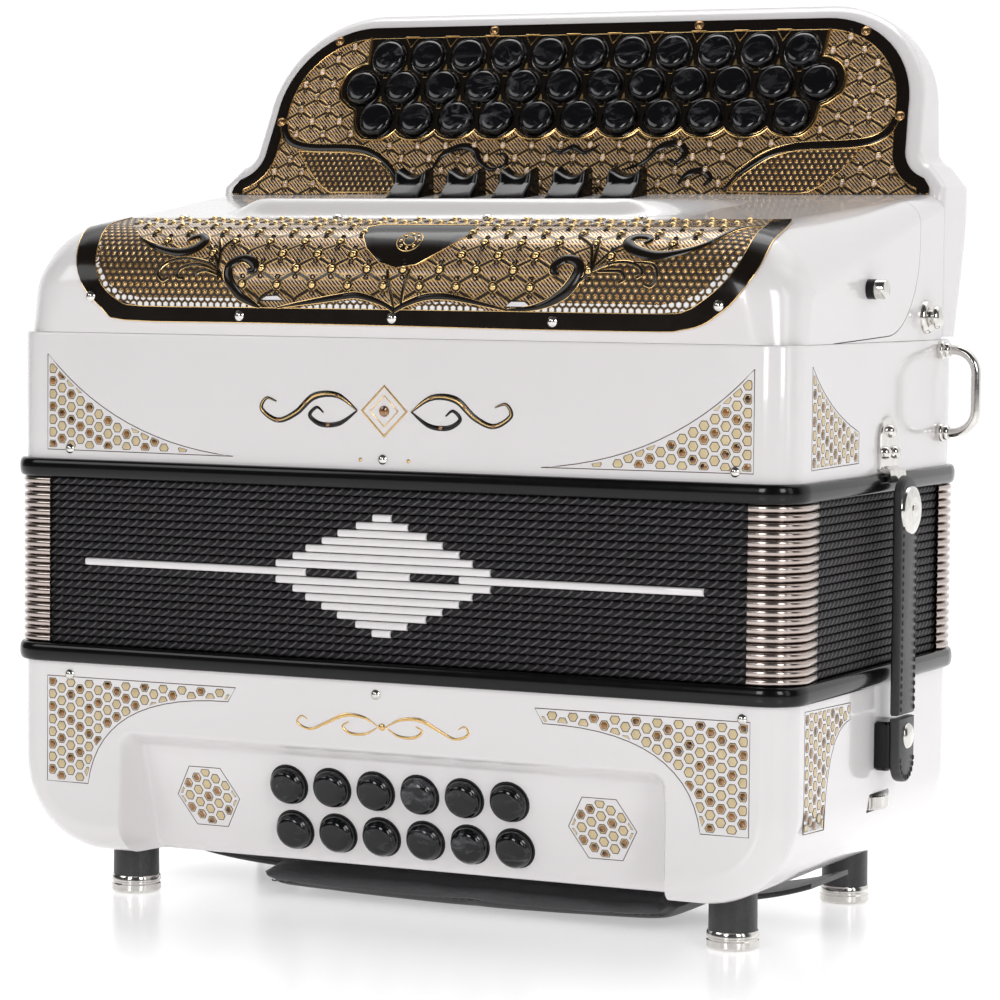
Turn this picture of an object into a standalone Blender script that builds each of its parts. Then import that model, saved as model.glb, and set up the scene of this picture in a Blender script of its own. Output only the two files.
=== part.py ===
"""A three-row diatonic button accordion, standing on the four feet of its bass end.

Millimetres are used throughout and turned into metres by MM. +Z is up, from the bass side to the
treble side; the bass buttons and the grille face -Y; the origin is under the middle of the object.
"""

import math

import bmesh
import bpy
from mathutils import Matrix, Vector

MM = 0.001
GAP = 0.3  # clearance between neighbouring pieces

# Casings
CASE_W = 330.0
CASE_D = 185.0
CASE_R = 17.5
OVERALL_D = 201.0  # from the front of the bellows frames to the back of the fingerboard
BEAD_PROUD = 3.0
FRONT = -OVERALL_D / 2 + BEAD_PROUD  # y of the casings' front face
REAR = FRONT + CASE_D
BACK = OVERALL_D / 2  # y of the fingerboard's back
MIDDLE = (FRONT + REAR) / 2

# Levels, from the table up
FOOT_H = 20.0
BASS_TOP = 95.0
BEAD_H = 7.3
BELLOWS_LOW = BASS_TOP + BEAD_H
BELLOWS_HIGH = 168.0
TREBLE_LOW = BELLOWS_HIGH + BEAD_H
TREBLE_TOP = 225.0

# Bass side
BASS_WALL = 4.0
BASS_END_R = 36.0  # radius of the lower corners, seen from the front
RECESS_TILT = math.radians(15.8)
RECESS_HALF_W = 117.0
RECESS_TOP = 69.0
RECESS_TOP_DEPTH = 8.3
FOOT_X = 130.0
FOOT_INSET = 34.6
BUTTON_PITCH = 19.0
BASS_ROWS_Z = (51.3, 33.0)
BASS_CAP_R = 7.4
BASS_HOLE_R = 8.3
BASS_CAP_PROUD = 4.6

# Bellows
FOLDS = 21
FOLD_DEPTH = 5.0
BELLOWS_THICK = 16.0

# Treble casing, grille cover and fingerboard body
TREBLE_WALL = 9.0
COVER_HALF_W = 164.4
COVER_WALL = 3.0
COVER_END_R = 20.0  # rounding between the cover's ends and its front, nose and top
COVER_NOSE_R = 26.0
COVER_NOSE_Z = 241.5
DECK_SLOPE = math.radians(6.2)
COVER_REAR = FRONT + 132.0
JOINT_R = 36.0  # radius of the joint line between the cover and the fingerboard body
BODY_HALF_W = 164.4

# Fingerboard plate, in its own plane: x across, w up the slope from the plate's lower edge
PLATE_TILT = math.radians(67.26)
PLATE_FOOT = Vector((0.0, FRONT + 155.9, 280.0))
PLATE_THICK = 1.6
PLATE_CORNER_R = 40.7
PLATE_CORNER = (103.5, 39.5)
PLATE_FLARE = (159.5, 22.5)
PLATE_FLARE_R = 13.8
PLATE_FOOT_HALF_W = 158.5
PLATE_LOW = 2.4  # w of the plate's lower edge, which stands on the register deck
RIM = 5.5
TREBLE_ROWS = ((11, 36.6), (12, 51.2), (11, 65.7))  # how many buttons, and their w
TREBLE_CAP_R = 7.6
TREBLE_HOLE_R = 8.1
TREBLE_CAP_PROUD = 3.4

# Register switches
REGISTERS = 5
REGISTER_PITCH = 24.4
REGISTER_W = 20.0
REGISTER_X = -19.2  # middle of the row
REGISTER_Y = FRONT + 143.5
REGISTER_DEPTH = 16.0

# End hardware
STRAP_Y = FRONT + 95.7
STRAP_W = 17.4
STRAP_X = CASE_W / 2 + 5.5
STRAP_THICK = 6.0
STRAP_HINGE_Z = 83.2
STRAP_LOW = 57.6
STRAP_HIGH = 175.0
LOOP_Y = FRONT + 154.0
LOOP_Z = (188.6, 221.0)
LOOP_REACH = 17.0
LOOP_ROD_R = 1.7
WHEEL_R = 11.0
WHEEL_POS = Vector((157.0, FRONT + 94.0, 50.0))
AIR_POS = Vector((110.0, REAR, 45.0))
AIR_R = 6.0

for obj in list(bpy.data.objects):
    bpy.data.objects.remove(obj, do_unlink=True)

PARTS = bpy.data.collections.new("button_accordion")
CUTTERS = bpy.data.collections.new("cutters")
CUTTERS.hide_render = True
bpy.context.scene.collection.children.link(PARTS)
bpy.context.scene.collection.children.link(CUTTERS)


# ---------------------------------------------------------------- materials


def material(name, colour, roughness, metallic=0.0):
    made = bpy.data.materials.new(name)
    made.use_nodes = True
    shader = made.node_tree.nodes["Principled BSDF"]
    shader.inputs["Base Color"].default_value = (*colour, 1.0)
    shader.inputs["Roughness"].default_value = roughness
    shader.inputs["Metallic"].default_value = metallic
    made.diffuse_color = (*colour, 1.0)
    return made


WHITE = material("white_celluloid", (0.86, 0.84, 0.83), 0.12)
BLACK = material("black_celluloid", (0.012, 0.012, 0.014), 0.12)
PEARL = material("dark_pearl", (0.03, 0.03, 0.035), 0.1)
BELLOWS_CLOTH = material("bellows_cloth", (0.015, 0.015, 0.016), 0.7)
GOLD = material("gold_plate", (0.62, 0.46, 0.2), 0.3, 1.0)
LEATHER = material("black_leather", (0.02, 0.02, 0.022), 0.5)
NICKEL = material("nickel", (0.78, 0.77, 0.75), 0.18, 1.0)


# ---------------------------------------------------------------- shape helpers


def arc(centre, radius, start, end, steps):
    """Points on a circle, from one angle to another in degrees."""
    points = []
    for i in range(steps + 1):
        angle = math.radians(start + (end - start) * i / steps)
        points.append((centre[0] + radius * math.cos(angle), centre[1] + radius * math.sin(angle)))
    return points


def new_object(name, bm, finish=None):
    """An object from a bmesh in millimetres: a part if it has a material, and a cutter if not."""
    bmesh.ops.recalc_face_normals(bm, faces=bm.faces)
    bmesh.ops.scale(bm, vec=(MM, MM, MM), verts=bm.verts)
    mesh = bpy.data.meshes.new(name)
    bm.to_mesh(mesh)
    bm.free()
    return place(name, mesh, finish)


def place(name, mesh, finish=None):
    made = bpy.data.objects.new(name, mesh)
    if finish:
        PARTS.objects.link(made)
        mesh.materials.clear()
        mesh.materials.append(finish)
    else:
        CUTTERS.objects.link(made)
        made.hide_render = True
        made.display_type = "WIRE"
    return made


AXES = {
    "XZ": lambda a, b, c: (a, c, b),
    "YZ": lambda a, b, c: (c, a, b),
    "XY": lambda a, b, c: (a, b, c),
}


def prism_mesh(outline, plane, low, high, rounding=0.0, rounded=None, segments=4):
    """A flat outline drawn in a plane and pushed from low to high across it.

    Edges of the two end faces are rounded where rounded(x, y, z) holds at both their corners.
    """
    to_xyz = AXES[plane]
    across = to_xyz(0, 0, 1).index(1)
    bm = bmesh.new()
    corners = [bm.verts.new(to_xyz(a, b, low)) for a, b in outline]
    face = bm.faces.new(corners)
    pushed = bmesh.ops.extrude_face_region(bm, geom=[face])
    moved = [item for item in pushed["geom"] if isinstance(item, bmesh.types.BMVert)]
    bmesh.ops.translate(bm, vec=to_xyz(0.0, 0.0, high - low), verts=moved)
    bmesh.ops.recalc_face_normals(bm, faces=bm.faces)
    if rounding:
        chosen = [
            edge
            for edge in bm.edges
            if abs(edge.verts[0].co[across] - edge.verts[1].co[across]) < 0.01
            and all(rounded(*vert.co) for vert in edge.verts)
        ]
        bmesh.ops.bevel(
            bm, geom=chosen, offset=rounding, segments=segments, profile=0.5, affect="EDGES"
        )
    return bm


def rise(edge):
    return abs(edge.verts[0].co.z - edge.verts[1].co.z)


def box_mesh(low, high, corner_r=0.0, edge_r=0.0, segments=4):
    """A box, with its upright corners rounded by corner_r and its flat edges by edge_r."""
    bm = bmesh.new()
    size = Vector(high) - Vector(low)
    middle = (Vector(high) + Vector(low)) / 2
    bmesh.ops.create_cube(bm, size=1.0)
    bmesh.ops.scale(bm, vec=size, verts=bm.verts)
    bmesh.ops.translate(bm, vec=middle, verts=bm.verts)
    if corner_r:
        upright = [edge for edge in bm.edges if rise(edge) > size.z / 2]
        bmesh.ops.bevel(
            bm, geom=upright, offset=corner_r, segments=segments, profile=0.5, affect="EDGES"
        )
    if edge_r:
        flat = [edge for edge in bm.edges if rise(edge) < size.z / 2]
        flat = [edge for edge in flat if edge.calc_face_angle() > 0.7]
        bmesh.ops.bevel(bm, geom=flat, offset=edge_r, segments=2, profile=0.5, affect="EDGES")
    return bm


def cylinder_mesh(centre, axis, radius, length, sides=20):
    """A cylinder whose middle is at centre."""
    bm = bmesh.new()
    turn = Vector((0, 0, 1)).rotation_difference(Vector(axis)).to_matrix().to_4x4()
    bmesh.ops.create_cone(
        bm,
        cap_ends=True,
        segments=sides,
        radius1=radius,
        radius2=radius,
        depth=length,
        matrix=Matrix.Translation(centre) @ turn,
    )
    return bm


def merged(*meshes):
    """Several bmeshes in one, for a cutter of many separate shapes."""
    whole = bmesh.new()
    for bm in meshes:
        piece = bpy.data.meshes.new("piece")
        bm.to_mesh(piece)
        bm.free()
        whole.from_mesh(piece)
        bpy.data.meshes.remove(piece)
    return whole


def boolean(target, tool, operation):
    modifier = target.modifiers.new(operation.lower() + "_" + tool.name, "BOOLEAN")
    modifier.operation = operation
    modifier.object = tool


def cut(target, *tools):
    for tool in tools:
        boolean(target, tool, "DIFFERENCE")


def join(target, *tools):
    for tool in tools:
        boolean(target, tool, "UNION")


def turned(name, profile, finish, steps=14):
    """A turned piece about its own Z: the profile runs down the outer side, as (radius, height)."""
    mesh = bpy.data.meshes.new(name)
    points = [(radius * MM, 0.0, height * MM) for radius, height in profile]
    mesh.from_pydata(points, [(i, i + 1) for i in range(len(points) - 1)], [])
    made = place(name, mesh, finish)
    screw = made.modifiers.new("turn", "SCREW")
    screw.angle = 2 * math.pi
    screw.steps = steps
    screw.render_steps = steps
    screw.use_merge_vertices = True
    screw.merge_threshold = 0.00001
    screw.use_smooth_shade = True
    return made


def stand(made, position, axis):
    """Puts a turned piece at a position, with its own Z along axis."""
    turn = Vector((0, 0, 1)).rotation_difference(Vector(axis)).to_matrix().to_4x4()
    made.matrix_world = Matrix.Translation(Vector(position) * MM) @ turn


def button_profile(radius, proud, sunk, stem):
    return (
        (0.0, proud),
        (radius * 0.72, proud - 0.35),
        (radius, proud - 1.6),
        (radius, -sunk),
        (3.0, -sunk),
        (3.0, -sunk - stem),
        (0.0, -sunk - stem),
    )


# ---------------------------------------------------------------- bass side


def bass_shell(inset, top):
    """The bass casing's form: square at the top, with large round lower corners."""
    half = CASE_W / 2 - inset
    low = FOOT_H + inset
    radius = BASS_END_R - inset
    outline = [(half, top)]
    outline += arc((half - radius, low + radius), radius, 0, -90, 6)
    outline += arc((radius - half, low + radius), radius, -90, -180, 6)
    outline += [(-half, top)]
    bm = prism_mesh(outline, "XZ", FRONT + inset, REAR - inset)
    chosen = [
        edge
        for edge in bm.edges
        if abs(edge.verts[0].co.y - edge.verts[1].co.y) < 0.01
        and min(vert.co.z for vert in edge.verts) < top - 0.01
    ]
    bmesh.ops.bevel(
        bm, geom=chosen, offset=CASE_R - inset, segments=4, profile=0.5, affect="EDGES"
    )
    return bm


def recess_y(z):
    """Depth of the sloping bass panel at a height."""
    return FRONT + RECESS_TOP_DEPTH + (RECESS_TOP - z) * math.tan(RECESS_TILT)


def recess_mesh(offset):
    low = 8.0
    back = offset / math.cos(RECESS_TILT)
    outline = [
        (FRONT - 10.0, RECESS_TOP + 4.0 + offset),
        (FRONT, RECESS_TOP + 2.0 + offset),
        (recess_y(RECESS_TOP) + back, RECESS_TOP + offset),
        (recess_y(low) + back, low),
        (FRONT - 10.0, low),
    ]
    return prism_mesh(outline, "YZ", -RECESS_HALF_W - offset, RECESS_HALF_W + offset)


def bead_mesh(low, high):
    """The rounded black frame that closes one end of the bellows."""
    return box_mesh(
        (-CASE_W / 2 - BEAD_PROUD, FRONT - BEAD_PROUD, low),
        (CASE_W / 2 + BEAD_PROUD, REAR + BEAD_PROUD, high),
        corner_r=CASE_R + BEAD_PROUD,
        edge_r=2.6,
    )


def bass_button_places():
    places = []
    for row, z in enumerate(BASS_ROWS_Z):
        for column in range(6):
            x = (column - 2.5) * BUTTON_PITCH
            places.append((f"bass_button_{row + 1}_{column + 1}", Vector((x, recess_y(z), z))))
    return places


BASS_OUT = Vector((0.0, -math.cos(RECESS_TILT), -math.sin(RECESS_TILT)))


def make_bass_casing():
    casing = new_object("bass_casing", bass_shell(0.0, BASS_TOP), WHITE)
    join(casing, new_object("bass_bead", bead_mesh(BASS_TOP - 0.4, BELLOWS_LOW)))
    recess = new_object("bass_recess", recess_mesh(0.0))
    cavity = new_object("bass_cavity", bass_shell(BASS_WALL, BELLOWS_LOW + 6.0))
    cut(cavity, new_object("bass_recess_backing", recess_mesh(BASS_WALL)))
    holes = [
        cylinder_mesh(position, BASS_OUT, BASS_HOLE_R, 24.0)
        for _, position in bass_button_places()
    ]
    cut(casing, recess, cavity, new_object("bass_button_holes", merged(*holes)))
    air_hole = cylinder_mesh(AIR_POS, (0, 1, 0), AIR_R + 0.8, 20.0)
    slot = box_mesh(
        (CASE_W / 2 - 8.0, WHEEL_POS.y - WHEEL_R + 0.2, WHEEL_POS.z - 3.5),
        (CASE_W / 2 + 5.0, WHEEL_POS.y + WHEEL_R - 0.2, WHEEL_POS.z + 3.5),
    )
    cut(casing, new_object("air_hole", air_hole), new_object("wheel_slot", slot))
    for side in (-1, 1):
        for y in (FRONT + FOOT_INSET, REAR - FOOT_INSET):
            name = f"foot_{'right' if side > 0 else 'left'}_{'front' if y < 0 else 'rear'}"
            sleeve = cylinder_mesh((side * FOOT_X, y, 14.5), (0, 0, 1), 9.2, 16.0)
            cap = cylinder_mesh((side * FOOT_X, y, 3.5), (0, 0, 1), 9.9, 7.0)
            join(casing, new_object(name + "_sleeve", sleeve), new_object(name + "_cap", cap))
    anchor = box_mesh(
        (CASE_W / 2 - 1.0, STRAP_Y - 9.5, 62.0), (STRAP_X + 0.5, STRAP_Y + 9.5, 81.5)
    )
    tail_outline = strap_outline(STRAP_LOW, STRAP_HINGE_Z - 0.5, False)
    tail = prism_mesh(tail_outline, "YZ", STRAP_X, STRAP_X + STRAP_THICK)
    join(casing, new_object("strap_anchor", anchor), new_object("strap_tail", tail))
    return casing


def make_bass_buttons():
    profile = button_profile(BASS_CAP_R, BASS_CAP_PROUD, 1.5, 6.0)
    for name, position in bass_button_places():
        stand(turned(name, profile, PEARL), position, BASS_OUT)


def make_air_button():
    stand(turned("air_button", button_profile(AIR_R, 6.5, 1.5, 5.0), BLACK), AIR_POS, (0, 1, 0))


def make_wheel():
    profile = (
        (0.0, 8.0),
        (2.0, 8.0),
        (2.0, 2.8),
        (WHEEL_R - 0.8, 2.8),
        (WHEEL_R, 2.0),
        (WHEEL_R, -2.0),
        (WHEEL_R - 0.8, -2.8),
        (2.0, -2.8),
        (2.0, -3.8),
        (0.0, -3.8),
    )
    stand(turned("strap_adjuster_wheel", profile, NICKEL, 28), WHEEL_POS, (0, 0, 1))


def make_hand_strap():
    """A padded band that hangs in a shallow bow under the bass casing."""
    half_length = 118.0
    steps = 12
    under = []
    over = []
    for i in range(-steps, steps + 1):
        x = half_length * i / steps
        middle = 8.0 + 7.8 * (x / half_length) ** 4
        under.append((x, middle - 3.5))
        over.append((x, middle + 3.5))
    new_object(
        "hand_strap", prism_mesh(under + over[::-1], "XZ", MIDDLE - 31.0, MIDDLE + 31.0), LEATHER
    )


# ---------------------------------------------------------------- bellows and its strap


def strap_outline(low, high, round_top):
    """The bellows strap seen from the end: round at its free ends."""
    radius = STRAP_W / 2
    outline = [(STRAP_Y - radius, high), (STRAP_Y + radius, high)]
    if round_top:
        outline = arc((STRAP_Y, high - radius), radius, 180, 0, 6)
        return outline + [(STRAP_Y + radius, low), (STRAP_Y - radius, low)]
    return outline + arc((STRAP_Y, low + radius), radius, 0, -180, 6)


def make_bellows_strap():
    outline = strap_outline(STRAP_HINGE_Z + 0.5, STRAP_HIGH, True)
    flap = prism_mesh(outline, "YZ", STRAP_X, STRAP_X + STRAP_THICK)
    new_object("bellows_strap", flap, LEATHER)


def make_bellows():
    """A tube of folds: rings of a rounded rectangle, in and out by the depth of a fold."""

    def ring(bm, inset, z):
        half_x = CASE_W / 2 - 0.6 - inset
        half_y = CASE_D / 2 - 0.6 - inset
        radius = max(CASE_R - inset, 4.0)
        points = []
        for index, (sx, sy) in enumerate(((1, 1), (-1, 1), (-1, -1), (1, -1))):
            centre = (sx * (half_x - radius), MIDDLE + sy * (half_y - radius))
            points += arc(centre, radius, 90 * index, 90 * index + 90, 3)
        return [bm.verts.new((x, y, z)) for x, y in points]

    bm = bmesh.new()
    low = BELLOWS_LOW + GAP
    high = BELLOWS_HIGH - GAP
    rings = []
    for level in range(2 * FOLDS + 1):
        inset = FOLD_DEPTH if level % 2 == 0 else 0.0
        rings.append(ring(bm, inset, low + (high - low) * level / (2 * FOLDS)))
    rings.append(ring(bm, BELLOWS_THICK, high))
    rings.append(ring(bm, BELLOWS_THICK, low))
    for first, second in zip(rings, rings[1:] + rings[:1]):
        count = len(first)
        for i in range(count):
            j = (i + 1) % count
            bm.faces.new((first[i], first[j], second[j], second[i]))
    new_object("bellows", bm, BELLOWS_CLOTH)


# ---------------------------------------------------------------- treble side


def deck_z(y):
    """Height of the sloping top of the grille cover and the register deck."""
    start = FRONT + COVER_NOSE_R * (1 - math.sin(DECK_SLOPE))
    return COVER_NOSE_Z + COVER_NOSE_R * math.cos(DECK_SLOPE) + (y - start) * math.tan(DECK_SLOPE)


def joint_curve(clearance):
    """The joint between cover and fingerboard body, seen from the end, from front to back."""
    centre = (COVER_REAR - JOINT_R, TREBLE_TOP + 2.0 + JOINT_R)
    lower = [(FRONT + 40.0, TREBLE_TOP + clearance)]
    return lower + [
        (y - clearance, z) if clearance else (y, z) for y, z in arc(centre, JOINT_R, -90, 0, 6)
    ]


def cover_mesh():
    half = COVER_HALF_W
    outline = [(FRONT, TREBLE_TOP + GAP)]
    outline += arc((FRONT + COVER_NOSE_R, COVER_NOSE_Z), COVER_NOSE_R, 180, 96.2, 7)
    top_rear = COVER_REAR - GAP
    outline.append((top_rear, deck_z(top_rear)))
    low = [(y, z + GAP) for y, z in joint_curve(0.0)]
    outline += [(y - GAP, z) for y, z in reversed(low)]

    def rounded(x, y, z):
        return y < FRONT + 0.01 or in_nose(y, z) or z > deck_z(y) - 0.1

    return prism_mesh(outline, "YZ", -half, half, COVER_END_R, rounded, 5)


def in_nose(y, z):
    """Whether a point lies on the cover's rounded nose."""
    reach = math.hypot(y - FRONT - COVER_NOSE_R, z - COVER_NOSE_Z)
    return abs(reach - COVER_NOSE_R) < 0.1 and z > COVER_NOSE_Z - 0.1


def cover_cavity_mesh():
    half = COVER_HALF_W - COVER_WALL
    radius = COVER_NOSE_R - COVER_WALL
    drop = COVER_WALL / math.cos(DECK_SLOPE)
    outline = [(FRONT + COVER_WALL, TREBLE_TOP - 8.0)]
    outline += arc((FRONT + COVER_NOSE_R, COVER_NOSE_Z), radius, 180, 96.2, 7)
    rear = COVER_REAR + 12.0
    outline.append((rear, deck_z(rear) - drop))
    outline.append((rear, TREBLE_TOP - 8.0))

    def rounded(x, y, z):
        reach = math.hypot(y - FRONT - COVER_NOSE_R, z - COVER_NOSE_Z)
        on_nose = abs(reach - radius) < 0.1
        return y < FRONT + COVER_WALL + 0.01 or on_nose or z > deck_z(y) - drop - 0.1

    return prism_mesh(outline, "YZ", -half, half, COVER_END_R - COVER_WALL, rounded, 5)


def make_grille_cover():
    cover = new_object("grille_cover", cover_mesh(), WHITE)
    cut(cover, new_object("cover_cavity", cover_cavity_mesh()))
    knob = cylinder_mesh((COVER_HALF_W + 3.0, FRONT + 76.0, 245.0), (1, 0, 0), 3.75, 9.0)
    join(cover, new_object("cover_knob", knob))


def board_outline(grow, foot=0.0):
    """The fingerboard's outline in its own plane, made larger or smaller by an offset."""
    half = PLATE_FOOT_HALF_W + grow
    right = [(half, foot), (half, max(foot + 0.5, 5.5 + grow / 2))]
    flare = arc(PLATE_FLARE, PLATE_FLARE_R - grow, 250, 180, 4)
    right += [point for point in flare if point[1] > right[-1][1] + 0.5]
    right += arc(PLATE_CORNER, PLATE_CORNER_R + grow, 0, 90, 8)
    return right + [(-x, w) for x, w in reversed(right)]


def raised(outline):
    """A fingerboard outline seen from the front."""
    return [(x, PLATE_FOOT.z + w * math.sin(PLATE_TILT)) for x, w in outline]


PLATE_OUT = Vector((0.0, -math.sin(PLATE_TILT), math.cos(PLATE_TILT)))
PLATE_UP = Vector((0.0, math.cos(PLATE_TILT), math.sin(PLATE_TILT)))


def on_plate(x, w, height=0.0):
    return PLATE_FOOT + Vector((x, 0, 0)) + PLATE_UP * w + PLATE_OUT * height


def lay_on_plate(bm):
    """Turns a mesh drawn as (x, w, height) into the fingerboard's plane."""
    for vert in bm.verts:
        vert.co = on_plate(*vert.co)
    return bm


def treble_button_places():
    places = []
    for row, (count, w) in enumerate(TREBLE_ROWS):
        for i in range(count):
            x = (i - (count - 1) / 2) * BUTTON_PITCH
            places.append((f"treble_button_{row + 1}_{i + 1:02d}", x, w))
    return places


def body_side_outline():
    """The fingerboard body seen from the end."""
    outline = joint_curve(0.0)
    outline = [(y, z - 0.4 if i == 0 else z) for i, (y, z) in enumerate(outline)]
    outline.append((COVER_REAR, deck_z(COVER_REAR)))
    outline.append((PLATE_FOOT.y + 0.6, deck_z(PLATE_FOOT.y + 0.6)))
    top = on_plate(0.0, PLATE_CORNER[1] + PLATE_CORNER_R + RIM)
    outline.append((top.y, top.z))
    outline.append((BACK, top.z - 3.0))
    outline.append((BACK, 264.0))
    outline.append((BACK - 4.0, 252.0))
    outline.append((REAR + 1.0, 240.0))
    outline.append((REAR, 234.0))
    outline.append((REAR, TREBLE_TOP - 4.0))
    outline.append((FRONT + 40.0, TREBLE_TOP - 4.0))
    return outline


def make_treble_casing():
    low = (-CASE_W / 2, FRONT, TREBLE_LOW - 0.4)
    high = (CASE_W / 2, REAR, TREBLE_TOP)
    casing = new_object("treble_casing", box_mesh(low, high, corner_r=CASE_R), WHITE)
    join(casing, new_object("treble_bead", bead_mesh(BELLOWS_HIGH, TREBLE_LOW)))

    body = new_object(
        "fingerboard_body", prism_mesh(body_side_outline(), "YZ", -CASE_W / 2, CASE_W / 2)
    )
    front_view = [(BODY_HALF_W, TREBLE_TOP - 8.0), (BODY_HALF_W, 250.0)]
    front_view += raised(board_outline(RIM))
    front_view += [(-BODY_HALF_W, 250.0), (-BODY_HALF_W, TREBLE_TOP - 8.0)]
    front_view = new_object(
        "fingerboard_front_view", prism_mesh(front_view, "XZ", FRONT + 20.0, BACK + 10.0)
    )
    boolean(body, front_view, "INTERSECT")
    join(casing, body)

    wall = TREBLE_WALL
    well = box_mesh(
        (-CASE_W / 2 + wall, FRONT + wall, BELLOWS_HIGH - 6.0),
        (CASE_W / 2 - wall, REAR - wall, TREBLE_TOP + 1.5),
        corner_r=CASE_R - wall,
    )
    chamber = prism_mesh(
        [
            (FRONT + 60.0, TREBLE_TOP - 10.0),
            (FRONT + 60.0, deck_z(FRONT + 60.0) - 4.0),
            (FRONT + 164.0, deck_z(FRONT + 164.0) - 4.0),
            (REAR - 6.0, 262.0),
            (REAR - 6.0, TREBLE_TOP - 10.0),
        ],
        "YZ",
        -152.0,
        152.0,
    )
    behind_plate = prism_mesh(
        raised(board_outline(-6.0, 7.0)), "XZ", FRONT + 140.0, BACK - 5.0
    )
    link = box_mesh((-140.0, FRONT + 166.0, 250.0), (140.0, BACK - 8.0, 292.0))
    pocket = board_outline(0.4, PLATE_LOW - GAP)
    pocket = lay_on_plate(prism_mesh(pocket, "XY", -PLATE_THICK - GAP, 12.0))
    cut(
        casing,
        new_object("treble_well", well),
        new_object("treble_chamber", chamber),
        new_object("behind_plate", behind_plate),
        new_object("chamber_link", link),
        new_object("plate_pocket", pocket),
        new_object("register_slots", merged(*register_slots())),
    )
    join(casing, *end_hardware())
    return casing


def end_hardware():
    """Strap loops and strap buttons at both ends, and the hook plate of the bellows strap."""
    tools = []
    for side, name in ((1, "right"), (-1, "left")):
        end = CASE_W / 2 * side
        low, high = LOOP_Z
        bend = 9.0
        reach = end + side * (LOOP_REACH - LOOP_ROD_R)
        path = [(end - side * 3.0, low), (reach - side * bend, low)]
        angles = (270, 360) if side > 0 else (270, 180)
        path += arc((reach - side * bend, low + bend), bend, *angles, 4)[1:]
        angles = (0, 90) if side > 0 else (180, 90)
        path += arc((reach - side * bend, high - bend), bend, *angles, 4)
        path += [(end - side * 3.0, high)]
        tools.append(rod(f"strap_loop_{name}", path))
        for z in LOOP_Z:
            collar = cylinder_mesh((end + side * 1.0, LOOP_Y, z), (1, 0, 0), 3.5, 6.0, 14)
            tools.append(new_object(f"loop_collar_{name}_{z:.0f}", collar))
        button = (BODY_HALF_W * side, FRONT + 139.5, 234.0)
        washer = cylinder_mesh(button, (1, 0, 0), 6.5, 4.0)
        head = cylinder_mesh(Vector(button) + Vector((side * 3.0, 0, 0)), (1, 0, 0), 4.5, 8.0)
        tools.append(new_object(f"strap_washer_{name}", washer))
        tools.append(new_object(f"strap_head_{name}", head))
    hook = box_mesh(
        (CASE_W / 2 - 1.0, STRAP_Y - 9.8, 176.0), (CASE_W / 2 + 1.5, STRAP_Y + 9.8, 196.5)
    )
    lip = box_mesh(
        (CASE_W / 2 - 1.0, STRAP_Y - 8.5, 171.5), (STRAP_X - GAP, STRAP_Y + 8.5, 177.5)
    )
    return tools + [new_object("hook_plate", hook), new_object("hook_lip", lip)]


def rod(name, path):
    """A bent rod in a plane of constant y, turned into a mesh so that it can be joined."""
    curve = bpy.data.curves.new(name, "CURVE")
    curve.dimensions = "3D"
    curve.bevel_depth = LOOP_ROD_R * MM
    curve.bevel_resolution = 1
    curve.use_fill_caps = True
    spline = curve.splines.new("POLY")
    spline.points.add(len(path) - 1)
    for point, (x, z) in zip(spline.points, path):
        point.co = (x * MM, LOOP_Y * MM, z * MM, 1.0)
    guide = bpy.data.objects.new(name + "_guide", curve)
    CUTTERS.objects.link(guide)
    bpy.context.view_layer.update()
    graph = bpy.context.evaluated_depsgraph_get()
    mesh = bpy.data.meshes.new_from_object(guide.evaluated_get(graph))
    bpy.data.objects.remove(guide)
    bm = bmesh.new()
    bm.from_mesh(mesh)
    bmesh.ops.remove_doubles(bm, verts=bm.verts, dist=0.00001)
    bmesh.ops.recalc_face_normals(bm, faces=bm.faces)
    bm.to_mesh(mesh)
    bm.free()
    return place(name, mesh)


def make_fingerboard_plate():
    plate = lay_on_plate(prism_mesh(board_outline(0.0, PLATE_LOW), "XY", -PLATE_THICK, 0.0))
    plate = new_object("fingerboard_plate", plate, GOLD)
    holes = [
        cylinder_mesh(on_plate(x, w), PLATE_OUT, TREBLE_HOLE_R, 10.0, 14)
        for _, x, w in treble_button_places()
    ]
    cut(plate, new_object("treble_button_holes", merged(*holes)))


def make_treble_buttons():
    profile = button_profile(TREBLE_CAP_R, TREBLE_CAP_PROUD, 1.0, 4.5)
    for name, x, w in treble_button_places():
        stand(turned(name, profile, PEARL, 12), on_plate(x, w), PLATE_OUT)


def register_places():
    for i in range(REGISTERS):
        yield i, REGISTER_X + (i - (REGISTERS - 1) / 2) * REGISTER_PITCH


def register_slots():
    half_w = REGISTER_W / 2 + 0.6
    half_d = REGISTER_DEPTH / 2 + 0.6
    for _, x in register_places():
        yield box_mesh(
            (x - half_w, REGISTER_Y - half_d, 268.0), (x + half_w, REGISTER_Y + half_d, 290.0)
        )


def make_registers():
    front = REGISTER_Y - REGISTER_DEPTH / 2
    rear = REGISTER_Y + REGISTER_DEPTH / 2
    outline = [
        (front, 275.5),
        (front, 281.5),
        (front + 6.0, 286.0),
        (front + 7.5, 290.0),
        (rear - 3.0, 291.0),
        (rear, 294.0),
        (rear, 275.5),
    ]
    for i, x in register_places():
        half = REGISTER_W / 2
        tab = prism_mesh(outline, "YZ", x - half, x + half)
        new_object(f"register_switch_{i + 1}", tab, BLACK)


make_bass_casing()
make_bass_buttons()
make_air_button()
make_wheel()
make_hand_strap()
make_bellows()
make_bellows_strap()
make_treble_casing()
make_grille_cover()
make_fingerboard_plate()
make_treble_buttons()
make_registers()
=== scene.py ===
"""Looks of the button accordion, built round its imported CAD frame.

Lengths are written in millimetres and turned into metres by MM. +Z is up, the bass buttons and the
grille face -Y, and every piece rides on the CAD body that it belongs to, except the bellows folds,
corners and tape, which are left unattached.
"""

import math

import bpy
import numpy as np
from mathutils import Matrix, Vector
from mathutils.geometry import delaunay_2d_cdt


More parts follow.
